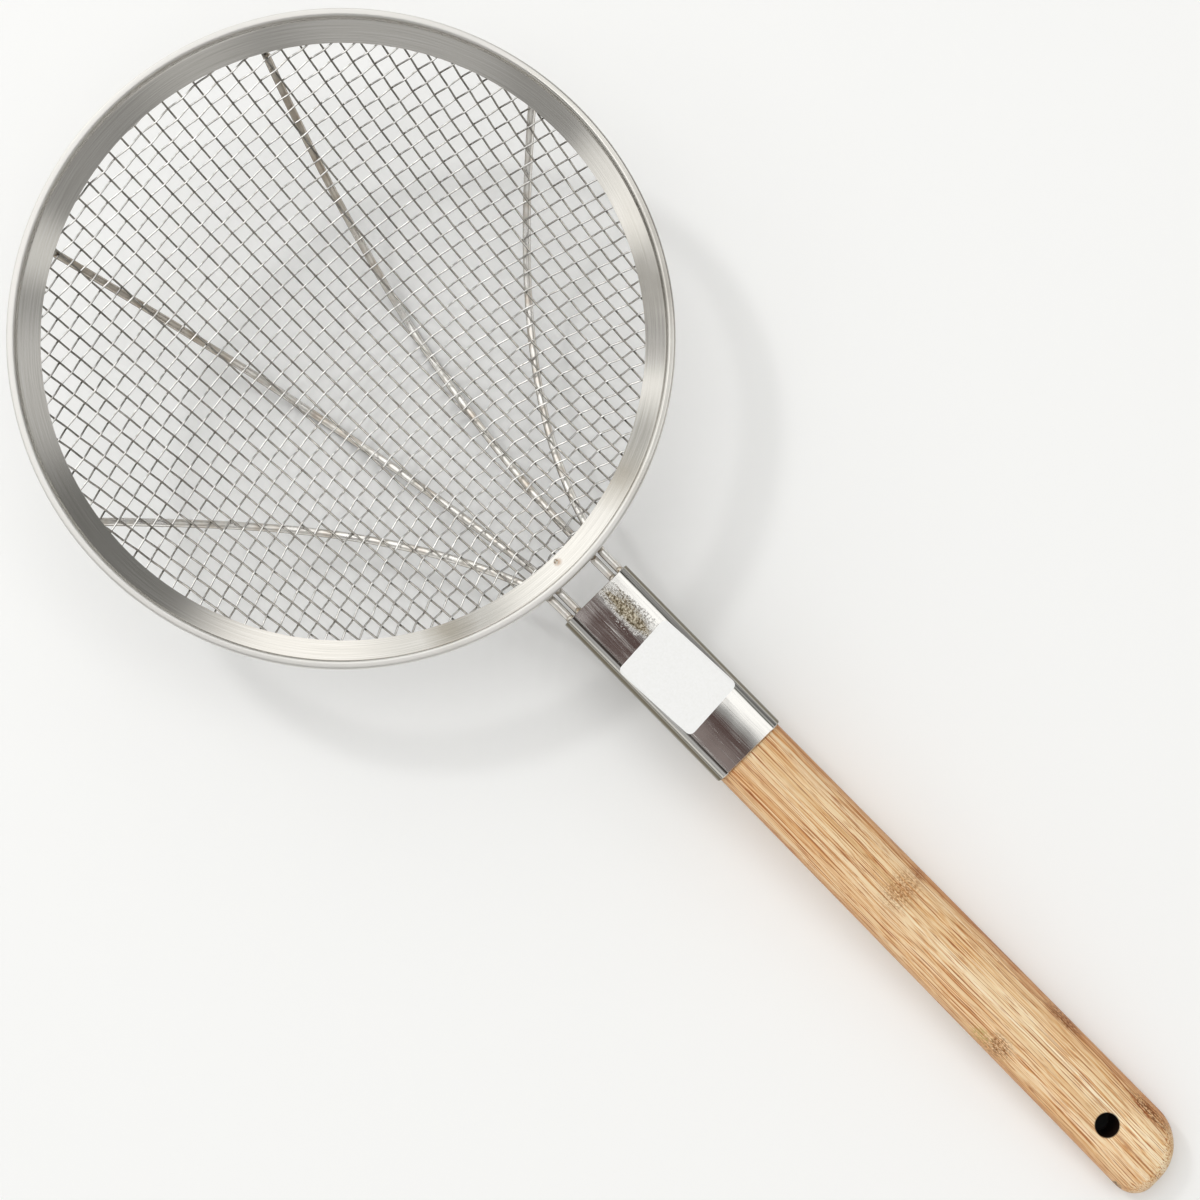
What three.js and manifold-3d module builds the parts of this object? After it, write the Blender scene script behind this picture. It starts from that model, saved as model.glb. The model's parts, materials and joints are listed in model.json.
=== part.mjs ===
// Kitchen strainer: a woven wire bowl held in a folded steel rim, carried on four fanned rods that run into
// a steel ferrule on a flat bamboo handle. It lies as on a table, on its rods and on the end of its handle.
// Millimetres. The pieces are drawn with the rim level and the bowl's axis on Z, then laid down together.
import * as THREE from 'three';
import { mergeVertices } from 'three/addons/utils/BufferGeometryUtils.js';
import Module from 'manifold-3d';

const wasm = await Module();
wasm.setup();

// Driving dimensions
const CLEARANCE = 0.3;
const WELD_TOLERANCE = 1e-4;

const RIM_RADIUS = 120;
const RIM_STRIP = 0.5;
const CORE_WIRE_DIAMETER = 1.4;
const RIM_WIDTH = 10.5;
const LIP_DEPTH = 7.5;
const VALLEY_INSET = 3.2;
const VALLEY_DEPTH = 3.2;
const RIM_FACETS = 60;

const BOWL_DEPTH = 57;
const NET_PITCH = 12.7;
const NET_STRAND_WIDTH = 0.8;
const NET_THICKNESS = 1.6;

const ROD_DIAMETER = 3;
const ROD_SIDES = 8;
const ROD_STEPS = 40;
const ROD_IN_FERRULE = 25;
const INNER_ROD_OFFSET = 8.6;
const INNER_ROD_SPLAY = 0.075;
const INNER_ROD_BEARING = 151.8;
const OUTER_ROD_OFFSET = 12.6;
const OUTER_ROD_SPLAY = 0.284;
const OUTER_ROD_BEARING = 99.6;

const FERRULE_GAP = 10;
const FERRULE_LENGTH = 79.5;
const FERRULE_WALL = 0.8;
const FERRULE_CORNER = 5;

const HANDLE_THICKNESS = 13;
const HANDLE_NECK_WIDTH = 28.8;
const HANDLE_END_WIDTH = 30.4;
const HANDLE_EDGE_RADIUS = 5.5;
const HANDLE_VISIBLE_LENGTH = 214.5;
const HANDLE_SHOULDER = 0.4;
const TONGUE_SETBACK = 3;
const TIP_CORNER_PLUS_Y = 17;
const TIP_CORNER_MINUS_Y = 9;
const HANG_HOLE_DIAMETER = 8.7;
const HANG_HOLE_FROM_TIP = 28.5;
const HANG_HOLE_SIDE_SHIFT = -2.6;

const LABEL_LENGTH = 34;
const LABEL_WIDTH = 23;
const LABEL_THICKNESS = 0.3;
const LABEL_FROM_FERRULE_END = 37.5;
const LABEL_SKEW = 6;

// Finishes
const steel = (color, roughness) => new THREE.MeshStandardMaterial({ color, roughness, metalness: 1 });
const brushedSteel = () => steel(0xb9b7b2, 0.35);
const wireSteel = () => steel(0xc4c3c0, 0.3);
const polishedSteel = () => steel(0xcbc8c2, 0.12);
const bamboo = () => new THREE.MeshStandardMaterial({ color: 0xddb27e, roughness: 0.55, metalness: 0 });
const paper = () => new THREE.MeshStandardMaterial({ color: 0xf2f2f0, roughness: 0.7, metalness: 0 });

// Helpers on solids

/** Merges a geometry's shared corners and turns its faces outwards. */
function closedGeometry(geometry) {
  const bare = geometry.clone();
  bare.deleteAttribute('normal');
  bare.deleteAttribute('uv');
  const merged = mergeVertices(bare, WELD_TOLERANCE);
  const index = merged.index.array;
  const corner = [new THREE.Vector3(), new THREE.Vector3(), new THREE.Vector3()];
  let volume = 0;
  for (let i = 0; i < index.length; i += 3) {
    corner.forEach((point, k) => point.fromBufferAttribute(merged.attributes.position, index[i + k]));
    volume += corner[0].dot(corner[1].clone().cross(corner[2]));
  }
  if (volume < 0) {
    for (let i = 0; i < index.length; i += 3) {
      [index[i], index[i + 1]] = [index[i + 1], index[i]];
    }
  }
  return merged;
}

/** Makes a solid for cutting out of a closed geometry. */
function solidOf(geometry) {
  const closed = closedGeometry(geometry);
  const vertProperties = Float32Array.from(closed.attributes.position.array);
  const triVerts = Uint32Array.from(closed.index.array);
  return new wasm.Manifold(new wasm.Mesh({ numProp: 3, vertProperties, triVerts }));
}

/** Turns a cut solid back into a geometry. */
function geometryOf(solid) {
  const mesh = solid.getMesh();
  const geometry = new THREE.BufferGeometry();
  geometry.setAttribute('position', new THREE.BufferAttribute(Float32Array.from(mesh.vertProperties), 3));
  geometry.setIndex(Array.from(mesh.triVerts));
  return geometry;
}

/** Spins a closed profile of [radius, height] points about Z. */
function spunRing(profile) {
  const points = [...profile, profile[0]].map(([radius, height]) => new THREE.Vector2(radius, height));
  return new THREE.LatheGeometry(points, RIM_FACETS).rotateX(Math.PI / 2);
}

/** A node: one named piece with its own finish. */
function piece(name, geometry, material) {
  const mesh = new THREE.Mesh(closedGeometry(geometry), material);
  mesh.name = name;
  return mesh;
}

// The rim's section: one strip, folded round a core wire, whose two leaves hold the edge of the net.
// Points are [radius, height], with the top of the rolled bead at height 0.
const beadRadius = CORE_WIRE_DIAMETER / 2 + CLEARANCE + RIM_STRIP;
const beadCentre = [RIM_RADIUS - beadRadius, -beadRadius];
const lip = [RIM_RADIUS - RIM_WIDTH, -LIP_DEPTH];
const valley = [RIM_RADIUS - VALLEY_INSET, -VALLEY_DEPTH];
const leafLength = Math.hypot(valley[0] - lip[0], valley[1] - lip[1]);
const leafRun = [(valley[0] - lip[0]) / leafLength, (valley[1] - lip[1]) / leafLength];
const leafDown = [leafRun[1], -leafRun[0]];
const below = (point, distance) => [
  point[0] + leafDown[0] * distance,
  point[1] + leafDown[1] * distance,
];
const netBelowLeaf = RIM_STRIP / 2 + CLEARANCE + NET_THICKNESS / 2;
const lowerLeaf = 2 * netBelowLeaf;
const rodBelowLeaf = lowerLeaf + RIM_STRIP / 2 + CLEARANCE + ROD_DIAMETER / 2;

/** Points of an arc about a centre, from one bearing in degrees to another. */
function arcPoints(centre, radius, from, to, count) {
  return Array.from({ length: count + 1 }, (_, i) => {
    const bearing = THREE.MathUtils.degToRad(from + ((to - from) * i) / count);
    return [centre[0] + radius * Math.cos(bearing), centre[1] + radius * Math.sin(bearing)];
  });
}

/** Outline of a strip of even thickness that follows a bent centre line. */
function stripOutline(line, thickness) {
  const sides = [1, -1].map((side) => line.map((point, i) => {
    const before = line[Math.max(i - 1, 0)];
    const after = line[Math.min(i + 1, line.length - 1)];
    const runIn = new THREE.Vector2(point[0] - before[0], point[1] - before[1]).normalize();
    const runOut = new THREE.Vector2(after[0] - point[0], after[1] - point[1]).normalize();
    const run = runIn.clone().add(runOut).normalize();
    const mitre = i === 0 || i === line.length - 1 ? 1 : run.dot(runIn);
    const reach = (side * thickness) / 2 / mitre;
    return [point[0] - run.y * reach, point[1] + run.x * reach];
  }));
  return [...sides[0], ...sides[1].reverse()];
}

function rimBand() {
  const rollInner = 200;
  const rollOuter = -15;
  const rollSteps = 7;
  const roll = arcPoints(beadCentre, beadRadius - RIM_STRIP / 2, rollInner, rollOuter, rollSteps);
  const line = [lip, valley, ...roll, below(valley, lowerLeaf), below(lip, lowerLeaf)];
  return piece('rim_band', spunRing(stripOutline(line, RIM_STRIP)), brushedSteel());
}

function rimCoreWire() {
  const sides = 6;
  const section = arcPoints(beadCentre, CORE_WIRE_DIAMETER / 2, 0, 360, sides).slice(0, sides);
  return piece('rim_core_wire', spunRing(section), wireSteel());
}

// The bowl's surface: a cone between the rim's leaves, then a spherical cap down to the bowl's depth.
const netBend = below(lip, netBelowLeaf);
const netEdgeRadius = valley[0];
const capDepth = BOWL_DEPTH + netBend[1];
const capRadius = (netBend[0] ** 2 + capDepth ** 2) / (2 * capDepth);
const capCentreHeight = capRadius - BOWL_DEPTH;

/** Height and downward normal of the net's middle surface at a distance from the bowl's axis. */
function netSurface(radius) {
  if (radius > netBend[0]) {
    const rise = ((radius - netBend[0]) * leafRun[1]) / leafRun[0];
    return { height: netBend[1] + rise, outward: leafDown[0], up: leafDown[1] };
  }
  const drop = Math.sqrt(capRadius ** 2 - radius ** 2);
  return { height: capCentreHeight - drop, outward: radius / capRadius, up: -drop / capRadius };
}

/** Point on the upper (+1) or lower (-1) face of the net over a place in plan. */
function netPoint(x, y, face) {
  const radius = Math.hypot(x, y);
  const { height, outward, up } = netSurface(radius);
  const offset = (-face * NET_THICKNESS) / 2;
  const sideways = radius > 0 ? (outward * offset) / radius : 0;
  return [x * (1 + sideways), y * (1 + sideways), height + up * offset];
}

/** Ends of the stretches of one strand on its positive half: crossings, the bend at the rim and the edge. */
function strandStations(across) {
  const half = NET_STRAND_WIDTH / 2;
  const reach = Math.sqrt(netEdgeRadius ** 2 - across ** 2);
  const bend = Math.sqrt(netBend[0] ** 2 - across ** 2);
  const crossings = [];
  let next = 0;
  while (Math.hypot(next, across) < netEdgeRadius - NET_STRAND_WIDTH && next < netBend[0]) {
    crossings.push(next);
    next += NET_PITCH;
  }
  const last = crossings[crossings.length - 1];
  const blocked = next < netBend[0] ? next - half - CLEARANCE : reach;
  return { crossings, bend, end: Math.max(Math.min(reach, blocked), last + 2 * half) };
}

/** The net as one lattice of crossing strands, about half as many as the woven bowl has wires. */
function meshBowl() {
  const half = NET_STRAND_WIDTH / 2;
  const corners = [];
  const face = (a, b, c, d) => corners.push(...a, ...b, ...c, ...a, ...c, ...d);
  const cell = (x0, x1, y0, y1, walls) => {
    const top = [[x0, y0], [x1, y0], [x1, y1], [x0, y1]].map(([x, y]) => netPoint(x, y, 1));
    const low = [[x0, y0], [x1, y0], [x1, y1], [x0, y1]].map(([x, y]) => netPoint(x, y, -1));
    face(top[0], top[1], top[2], top[3]);
    face(low[3], low[2], low[1], low[0]);
    const sides = { south: [0, 1], east: [1, 2], north: [2, 3], west: [3, 0] };
    walls.forEach((wall) => {
      const [a, b] = sides[wall];
      face(low[a], low[b], top[b], top[a]);
    });
  };
  const strandCount = Math.floor((netBend[0] - NET_STRAND_WIDTH) / NET_PITCH);
  for (let row = -strandCount; row <= strandCount; row += 1) {
    const across = row * NET_PITCH;
    const { crossings, bend, end } = strandStations(Math.abs(across));
    for (const way of [1, -1]) {
      crossings.forEach((along, i) => {
        const isLast = i === crossings.length - 1;
        const start = along + half;
        const stop = isLast ? end : crossings[i + 1] - half;
        const hasBend = bend > start + CLEARANCE && bend < stop - CLEARANCE;
        const stations = hasBend ? [start, bend, stop] : [start, stop];
        for (let k = 0; k < stations.length - 1; k += 1) {
          const [from, to] = way > 0 ? [stations[k], stations[k + 1]] : [-stations[k + 1], -stations[k]];
          const capped = isLast && k === stations.length - 2;
          const endX = way > 0 ? 'east' : 'west';
          const endY = way > 0 ? 'north' : 'south';
          cell(from, to, across - half, across + half, ['south', 'north', ...(capped ? [endX] : [])]);
          cell(across - half, across + half, from, to, ['west', 'east', ...(capped ? [endY] : [])]);
        }
        if (way > 0 || along > 0) {
          cell(way * along - half, way * along + half, across - half, across + half, []);
        }
      });
    }
  }
  const geometry = new THREE.BufferGeometry();
  geometry.setAttribute('position', new THREE.Float32BufferAttribute(corners, 3));
  return piece('mesh_bowl', geometry, wireSteel());
}

// The rods: they leave the ferrule side by side, pass under the rim and fan out below the net.
const rodStart = below(valley, rodBelowLeaf);
const rodLevel = rodStart[1];
const rodUnderNet = capRadius + NET_THICKNESS / 2 + CLEARANCE + ROD_DIAMETER / 2;
const ferruleStart = RIM_RADIUS + FERRULE_GAP;
const ferruleEnd = ferruleStart + FERRULE_LENGTH;
const rodEnd = ferruleStart + ROD_IN_FERRULE;

/** Height of a rod's centre line at a distance from the bowl's axis, under the rim's leaf and the net. */
function rodHeight(radius) {
  const underLeaf = rodLevel + ((radius - rodStart[0]) * leafRun[1]) / leafRun[0];
  const underNet = radius < rodUnderNet
    ? capCentreHeight - Math.sqrt(rodUnderNet ** 2 - radius ** 2)
    : underLeaf;
  return Math.min(rodLevel, underLeaf, underNet);
}

/** One rod. Side is +1 or -1, splay its slope as it leaves the rim, bearing its far end in plan. */
function supportRod(name, side, offset, splay, bearing) {
  const fanPoints = 26;
  const farX = netEdgeRadius * Math.cos(THREE.MathUtils.degToRad(bearing));
  const farY = netEdgeRadius * Math.sin(THREE.MathUtils.degToRad(bearing));
  const fanLength = rodStart[0] - farX;
  const flare = (farY - offset - splay * fanLength) / fanLength ** 2;
  const points = [
    new THREE.Vector3(rodEnd, side * offset, rodLevel),
    new THREE.Vector3((rodEnd + ferruleStart) / 2, side * offset, rodLevel),
    new THREE.Vector3(ferruleStart, side * offset, rodLevel),
  ];
  for (let i = 0; i <= fanPoints; i += 1) {
    const run = (fanLength * i) / fanPoints;
    const x = rodStart[0] - run;
    const y = offset + splay * run + flare * run ** 2;
    points.push(new THREE.Vector3(x, side * y, rodHeight(Math.hypot(x, y))));
  }
  const section = new THREE.Shape(
    arcPoints([0, 0], ROD_DIAMETER / 2, 0, 360, ROD_SIDES)
      .slice(0, ROD_SIDES)
      .map(([x, y]) => new THREE.Vector2(x, y)),
  );
  const extrudePath = new THREE.CatmullRomCurve3(points);
  const geometry = new THREE.ExtrudeGeometry(section, { steps: ROD_STEPS, extrudePath });
  return piece(name, geometry, wireSteel());
}

// The ferrule: a flattened steel tube. The outer rods seat in its rounded upper corners, and the handle's
// tongue fills the rest of it.
const ferruleWidth = HANDLE_NECK_WIDTH + 2 * (CLEARANCE + FERRULE_WALL);
const tongueThickness = HANDLE_THICKNESS - 2 * HANDLE_SHOULDER;
const ferruleHeight = tongueThickness + 2 * (CLEARANCE + FERRULE_WALL);
const boreCorner = FERRULE_CORNER - FERRULE_WALL;
const cornerRoom = boreCorner - ROD_DIAMETER / 2 - CLEARANCE;
const rodReach = Math.max(OUTER_ROD_OFFSET - (ferruleWidth / 2 - FERRULE_CORNER), 0);
const rodRise = Math.sqrt(Math.max(cornerRoom ** 2 - rodReach ** 2, 0));
const ferruleInnerTop = rodLevel - rodRise + boreCorner;
const handleTop = ferruleInnerTop - CLEARANCE + HANDLE_SHOULDER;
const handleMiddle = handleTop - HANDLE_THICKNESS / 2;

/** Rounded rectangle about the origin, as a closed path. */
function roundedRectangle(width, height, corner, target) {
  const x = width / 2 - corner;
  const y = height / 2 - corner;
  target.absarc(x, y, corner, 0, Math.PI / 2);
  target.absarc(-x, y, corner, Math.PI / 2, Math.PI);
  target.absarc(-x, -y, corner, Math.PI, 1.5 * Math.PI);
  target.absarc(x, -y, corner, 1.5 * Math.PI, 2 * Math.PI);
  target.closePath();
  return target;
}

function ferrule() {
  const curveSegments = 8;
  const bore = 2 * FERRULE_WALL;
  const section = roundedRectangle(ferruleWidth, ferruleHeight, FERRULE_CORNER, new THREE.Shape());
  section.holes.push(roundedRectangle(
    ferruleWidth - bore,
    ferruleHeight - bore,
    boreCorner,
    new THREE.Path(),
  ));
  const geometry = new THREE.ExtrudeGeometry(section, {
    depth: FERRULE_LENGTH,
    bevelEnabled: false,
    curveSegments,
  });
  geometry.rotateX(Math.PI / 2).rotateZ(Math.PI / 2);
  geometry.translate(ferruleStart, 0, handleMiddle);
  return piece('ferrule', geometry, polishedSteel());
}

// The handle: a flat bamboo slat with round edges, a tongue pared to fit the ferrule and a hanging hole.
const tongueStart = ferruleStart + TONGUE_SETBACK;
const handleTip = ferruleEnd + HANDLE_VISIBLE_LENGTH;

function handle() {
  const neck = HANDLE_NECK_WIDTH / 2;
  const end = HANDLE_END_WIDTH / 2;
  const outline = new THREE.Shape();
  outline.moveTo(tongueStart, -neck);
  outline.lineTo(ferruleEnd, -neck);
  outline.lineTo(handleTip - TIP_CORNER_MINUS_Y, -end);
  outline.absarc(
    handleTip - TIP_CORNER_MINUS_Y,
    TIP_CORNER_MINUS_Y - end,
    TIP_CORNER_MINUS_Y,
    -Math.PI / 2,
    0,
  );
  outline.absarc(
    handleTip - TIP_CORNER_PLUS_Y,
    end - TIP_CORNER_PLUS_Y,
    TIP_CORNER_PLUS_Y,
    0,
    Math.PI / 2,
  );
  outline.lineTo(ferruleEnd, neck);
  outline.lineTo(tongueStart, neck);
  outline.closePath();
  const slat = new THREE.ExtrudeGeometry(outline, {
    depth: HANDLE_THICKNESS - 2 * HANDLE_EDGE_RADIUS,
    bevelEnabled: true,
    bevelSize: HANDLE_EDGE_RADIUS,
    bevelOffset: -HANDLE_EDGE_RADIUS,
    bevelThickness: HANDLE_EDGE_RADIUS,
    bevelSegments: 4,
    curveSegments: 7,
  });
  slat.translate(0, 0, handleTop - HANDLE_THICKNESS + HANDLE_EDGE_RADIUS);

  const holeFacets = 20;
  const holeRadius = HANG_HOLE_DIAMETER / 2;
  const hole = new THREE.CylinderGeometry(holeRadius, holeRadius, 2 * HANDLE_THICKNESS, holeFacets);
  hole.rotateX(Math.PI / 2);
  hole.translate(handleTip - HANG_HOLE_FROM_TIP, HANG_HOLE_SIDE_SHIFT, handleMiddle);

  const notchLength = rodEnd + CLEARANCE - tongueStart + HANDLE_THICKNESS;
  const notchFloor = rodLevel - ROD_DIAMETER / 2 - CLEARANCE;
  const notch = new THREE.BoxGeometry(notchLength, 2 * HANDLE_NECK_WIDTH, HANDLE_THICKNESS);
  notch.translate(rodEnd + CLEARANCE - notchLength / 2, 0, notchFloor + HANDLE_THICKNESS / 2);

  const pareLength = ferruleEnd + CLEARANCE - tongueStart + HANDLE_THICKNESS;
  const pareReach = (tongueThickness + HANDLE_THICKNESS) / 2;
  const pared = [1, -1].map((face) => {
    const box = new THREE.BoxGeometry(pareLength, 2 * HANDLE_NECK_WIDTH, HANDLE_THICKNESS);
    box.translate(ferruleEnd + CLEARANCE - pareLength / 2, 0, handleMiddle + face * pareReach);
    return solidOf(box);
  });

  const cuts = [solidOf(hole), solidOf(notch), ...pared];
  const cut = cuts.reduce((solid, tool) => solid.subtract(tool), solidOf(slat));
  return piece('handle', geometryOf(cut), bamboo());
}

// The label: a blank paper sticker, a little askew, that follows the ferrule's rounded top.
function paperLabel() {
  const alongSteps = 4;
  const acrossSteps = 12;
  const flat = ferruleWidth / 2 - FERRULE_CORNER;
  const arcHeight = handleMiddle + ferruleHeight / 2 - FERRULE_CORNER;
  const skew = THREE.MathUtils.degToRad(LABEL_SKEW);
  const centreX = ferruleEnd - LABEL_FROM_FERRULE_END;
  const point = (i, j, lift) => {
    const along = LABEL_LENGTH * (i / alongSteps - 0.5);
    const across = LABEL_WIDTH * (j / acrossSteps - 0.5);
    const x = centreX + along * Math.cos(skew) - across * Math.sin(skew);
    const reach = along * Math.sin(skew) + across * Math.cos(skew);
    const turn = Math.max(Math.abs(reach) - flat, 0) / FERRULE_CORNER;
    const out = FERRULE_CORNER + CLEARANCE + lift;
    const y = Math.min(Math.abs(reach), flat) + out * Math.sin(turn);
    return [x, Math.sign(reach) * y, arcHeight + out * Math.cos(turn)];
  };
  const corners = [];
  const face = (a, b, c, d) => corners.push(...a, ...b, ...c, ...a, ...c, ...d);
  for (let i = 0; i < alongSteps; i += 1) {
    for (let j = 0; j < acrossSteps; j += 1) {
      const ring = [[i, j], [i + 1, j], [i + 1, j + 1], [i, j + 1]];
      const top = ring.map(([a, b]) => point(a, b, LABEL_THICKNESS));
      const low = ring.map(([a, b]) => point(a, b, 0));
      face(top[0], top[1], top[2], top[3]);
      face(low[3], low[2], low[1], low[0]);
      if (j === 0) face(low[0], low[1], top[1], top[0]);
      if (i === alongSteps - 1) face(low[1], low[2], top[2], top[1]);
      if (j === acrossSteps - 1) face(low[2], low[3], top[3], top[2]);
      if (i === 0) face(low[3], low[0], top[0], top[3]);
    }
  }
  const geometry = new THREE.BufferGeometry();
  geometry.setAttribute('position', new THREE.Float32BufferAttribute(corners, 3));
  return piece('paper_label', geometry, paper());
}

// Assembly, with the rim level
const bowl = new THREE.Group();
bowl.add(meshBowl(), rimBand(), rimCoreWire());

const rods = new THREE.Group();
rods.add(
  supportRod('support_rod_outer_left', 1, OUTER_ROD_OFFSET, OUTER_ROD_SPLAY, OUTER_ROD_BEARING),
  supportRod('support_rod_inner_left', 1, INNER_ROD_OFFSET, INNER_ROD_SPLAY, INNER_ROD_BEARING),
  supportRod('support_rod_inner_right', -1, INNER_ROD_OFFSET, INNER_ROD_SPLAY, INNER_ROD_BEARING),
  supportRod('support_rod_outer_right', -1, OUTER_ROD_OFFSET, OUTER_ROD_SPLAY, OUTER_ROD_BEARING),
);

const grip = new THREE.Group();
grip.add(ferrule(), handle(), paperLabel());

// Laid down: the whole is turned about Y until the rods and the handle's end touch one level together.

/** Lowest height of some pieces once the whole is turned about Y by an angle. */
function lowestAfterTurn(group, angle) {
  let lowest = Infinity;
  group.children.forEach((mesh) => {
    const { array } = mesh.geometry.attributes.position;
    for (let i = 0; i < array.length; i += 3) {
      lowest = Math.min(lowest, array[i + 2] * Math.cos(angle) - array[i] * Math.sin(angle));
    }
  });
  return lowest;
}

function restAngle() {
  let [level, steep] = [0, Math.PI / 4];
  const halvings = 50;
  for (let i = 0; i < halvings; i += 1) {
    const middle = (level + steep) / 2;
    const rodsCarry = lowestAfterTurn(rods, middle) < lowestAfterTurn(grip, middle);
    [level, steep] = rodsCarry ? [middle, steep] : [level, middle];
  }
  return level;
}

const strainer = new THREE.Group();
strainer.add(bowl, rods, grip);
strainer.rotation.y = restAngle();
strainer.updateMatrixWorld(true);
const box = new THREE.Box3().setFromObject(strainer, true);
strainer.position.set(-(box.min.x + box.max.x) / 2, -(box.min.y + box.max.y) / 2, -box.min.z);

export default strainer;
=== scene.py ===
"""A wire-mesh kitchen strainer on a white table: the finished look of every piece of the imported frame.

Shapes are drawn in the rim's own frame (millimetres, bowl axis on Z, handle towards +X, left side at +Y) and
are then laid into the row frame, in metres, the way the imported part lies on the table.
"""

import json
import logging
import math
from dataclasses import dataclass, field
from enum import Enum
from typing import Sequence, Union

import bmesh
import bpy
from mathutils import Matrix, Vector, noise


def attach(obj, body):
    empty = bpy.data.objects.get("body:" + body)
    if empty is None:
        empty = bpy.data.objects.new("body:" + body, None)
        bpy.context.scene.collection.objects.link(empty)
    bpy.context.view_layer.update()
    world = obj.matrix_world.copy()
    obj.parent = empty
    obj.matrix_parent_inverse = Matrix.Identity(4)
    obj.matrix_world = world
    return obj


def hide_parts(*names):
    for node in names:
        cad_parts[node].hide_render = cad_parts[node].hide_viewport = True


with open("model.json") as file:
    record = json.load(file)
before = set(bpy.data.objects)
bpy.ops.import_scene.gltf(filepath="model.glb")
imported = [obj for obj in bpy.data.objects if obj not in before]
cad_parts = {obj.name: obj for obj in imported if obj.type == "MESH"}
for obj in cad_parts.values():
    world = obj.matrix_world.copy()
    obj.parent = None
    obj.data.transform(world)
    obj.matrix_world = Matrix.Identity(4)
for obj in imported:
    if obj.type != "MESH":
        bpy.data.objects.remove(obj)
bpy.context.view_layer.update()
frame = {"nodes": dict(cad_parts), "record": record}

LOG = logging.getLogger("strainer")
BODY = "root"
MM = 0.001
IMAGE_PIXELS = 1200
SENSOR_MM = 36.0
SMOOTH_ANGLE = math.radians(40.0)
UPWARD = "upward"
STRIP_MAP = "strip"
MIX_A, MIX_B, MIX_RESULT = 6, 7, 2
QUARTERS = ((1, 1), (-1, 1), (-1, -1), (1, -1))

Tree, Node, Socket = bpy.types.NodeTree, bpy.types.Node, bpy.types.NodeSocket
Object, Mesh, Material = bpy.types.Object, bpy.types.Mesh, bpy.types.Material
Loop = list[Vector]
Plan = tuple[float, float]
Point = tuple[float, float, float]
Stops = tuple[tuple[float, str], ...]
Value = Union[Node, Socket, float, int, bool, str, tuple]
Links = dict[Union[str, int], Value]


class Side(Enum):
    """The two sides of the handle, seen from its end towards the bowl."""

    LEFT = 1
    RIGHT = -1


class WireSet(Enum):
    """The two sets of wires in the woven bowl."""

    WARP = "net_warp_wires"
    WEFT = "net_weft_wires"


def linear(hex_colour: str) -> tuple[float, float, float, float]:
    """Turns an sRGB hex colour into the linear colour that shaders use.

    Args:
        hex_colour: Six hex digits with a leading hash.

    Returns:
        Linear red, green, blue and an alpha of 1.
    """
    channels = [int(hex_colour[i:i + 2], 16) / 255.0 for i in (1, 3, 5)]
    return (*(c / 12.92 if c <= 0.04045 else ((c + 0.055) / 1.055) ** 2.4 for c in channels), 1.0)


def feed(tree: Tree, node: Node, links: Links) -> None:
    """Links or sets a node's inputs.

    Args:
        tree: Tree of the node.
        node: Node whose inputs are fed.
        links: For each input, by name or number, the node or socket that feeds it or its plain value.
    """
    for key, value in links.items():
        if isinstance(value, Node):
            tree.links.new(value.outputs[0], node.inputs[key])
        elif isinstance(value, Socket):
            tree.links.new(value, node.inputs[key])
        else:
            node.inputs[key].default_value = value


def add(tree: Tree, kind: str, links: Links | None = None, stops: Stops = (), **settings: object) -> Node:
    """Adds a node to a tree with its settings and links.

    Args:
        tree: Shader or geometry tree that gets the node.
        kind: Blender's name of the node type.
        links: What feeds its inputs.
        stops: For a colour ramp, its places from 0 to 1 with their sRGB hex colours.
        settings: Properties of the node.

    Returns:
        The new node.
    """
    made = tree.nodes.new(kind)
    for name, value in settings.items():
        setattr(made, name, value)
    feed(tree, made, links or {})
    if stops:
        elements = made.color_ramp.elements
        while len(elements) < len(stops):
            elements.new(1.0)
        for element, (place, colour) in zip(elements, stops):
            element.position = place
            element.color = linear(colour)
    return made


def formula(tree: Tree, known: dict[str, Value],
            steps: Sequence[tuple[Union[str, float], ...]]) -> dict[str, Value]:
    """Works out a formula as a chain of nodes, from a table of steps.

    Args:
        tree: Tree that gets the nodes.
        known: Named values that the steps may use.
        steps: For each result its name, the operation and its operands, by name or as numbers.

    Returns:
        The known values together with every result by name.
    """
    values = dict(known)
    for name, operation, *terms in steps:
        operands = {slot: values[term] if isinstance(term, str) else term for slot, term in enumerate(terms)}
        values[name] = add(tree, "ShaderNodeMath", operands, operation=operation)
    return values


def stretched(tree: Tree, place: Value, cell_mm: Point, detail: float, roughness: float) -> Node:
    """Adds clouds that are longer along one axis than along another.

    Args:
        tree: Tree of the material.
        place: Coordinates in metres.
        cell_mm: Size of a cloud along each axis.
        detail: Levels of finer clouds in it.
        roughness: Strength of the finer clouds.

    Returns:
        The node that gives the clouds.
    """
    scaled = add(tree, "ShaderNodeVectorMath", {
        0: place, 1: tuple(1.0 / (size * MM) for size in cell_mm),
    }, operation="MULTIPLY")
    return add(tree, "ShaderNodeTexNoise", {
        "Vector": scaled, "Scale": 1.0, "Detail": detail, "Roughness": roughness,
    })


def plan_reach(tree: Tree, place: Value, middle_mm: Plan = (0.0, 0.0), reach_mm: Plan = (1.0, 1.0)) -> Socket:
    """Measures in plan how far a point is from a middle.

    Args:
        tree: Tree of the material.
        place: Coordinates in metres.
        middle_mm: The middle.
        reach_mm: Half length and half width of an ellipse round it that counts as 1.

    Returns:
        The distance in reaches, which are millimetres where no reach is given.
    """
    offset = add(tree, "ShaderNodeVectorMath", {
        0: place, 1: (*(c * MM for c in middle_mm), 0.0),
    }, operation="SUBTRACT")
    scaled = add(tree, "ShaderNodeVectorMath", {
        0: offset, 1: (*(1.0 / (c * MM) for c in reach_mm), 0.0),
    }, operation="MULTIPLY")
    return add(tree, "ShaderNodeVectorMath", {0: scaled}, operation="LENGTH").outputs["Value"]


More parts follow.
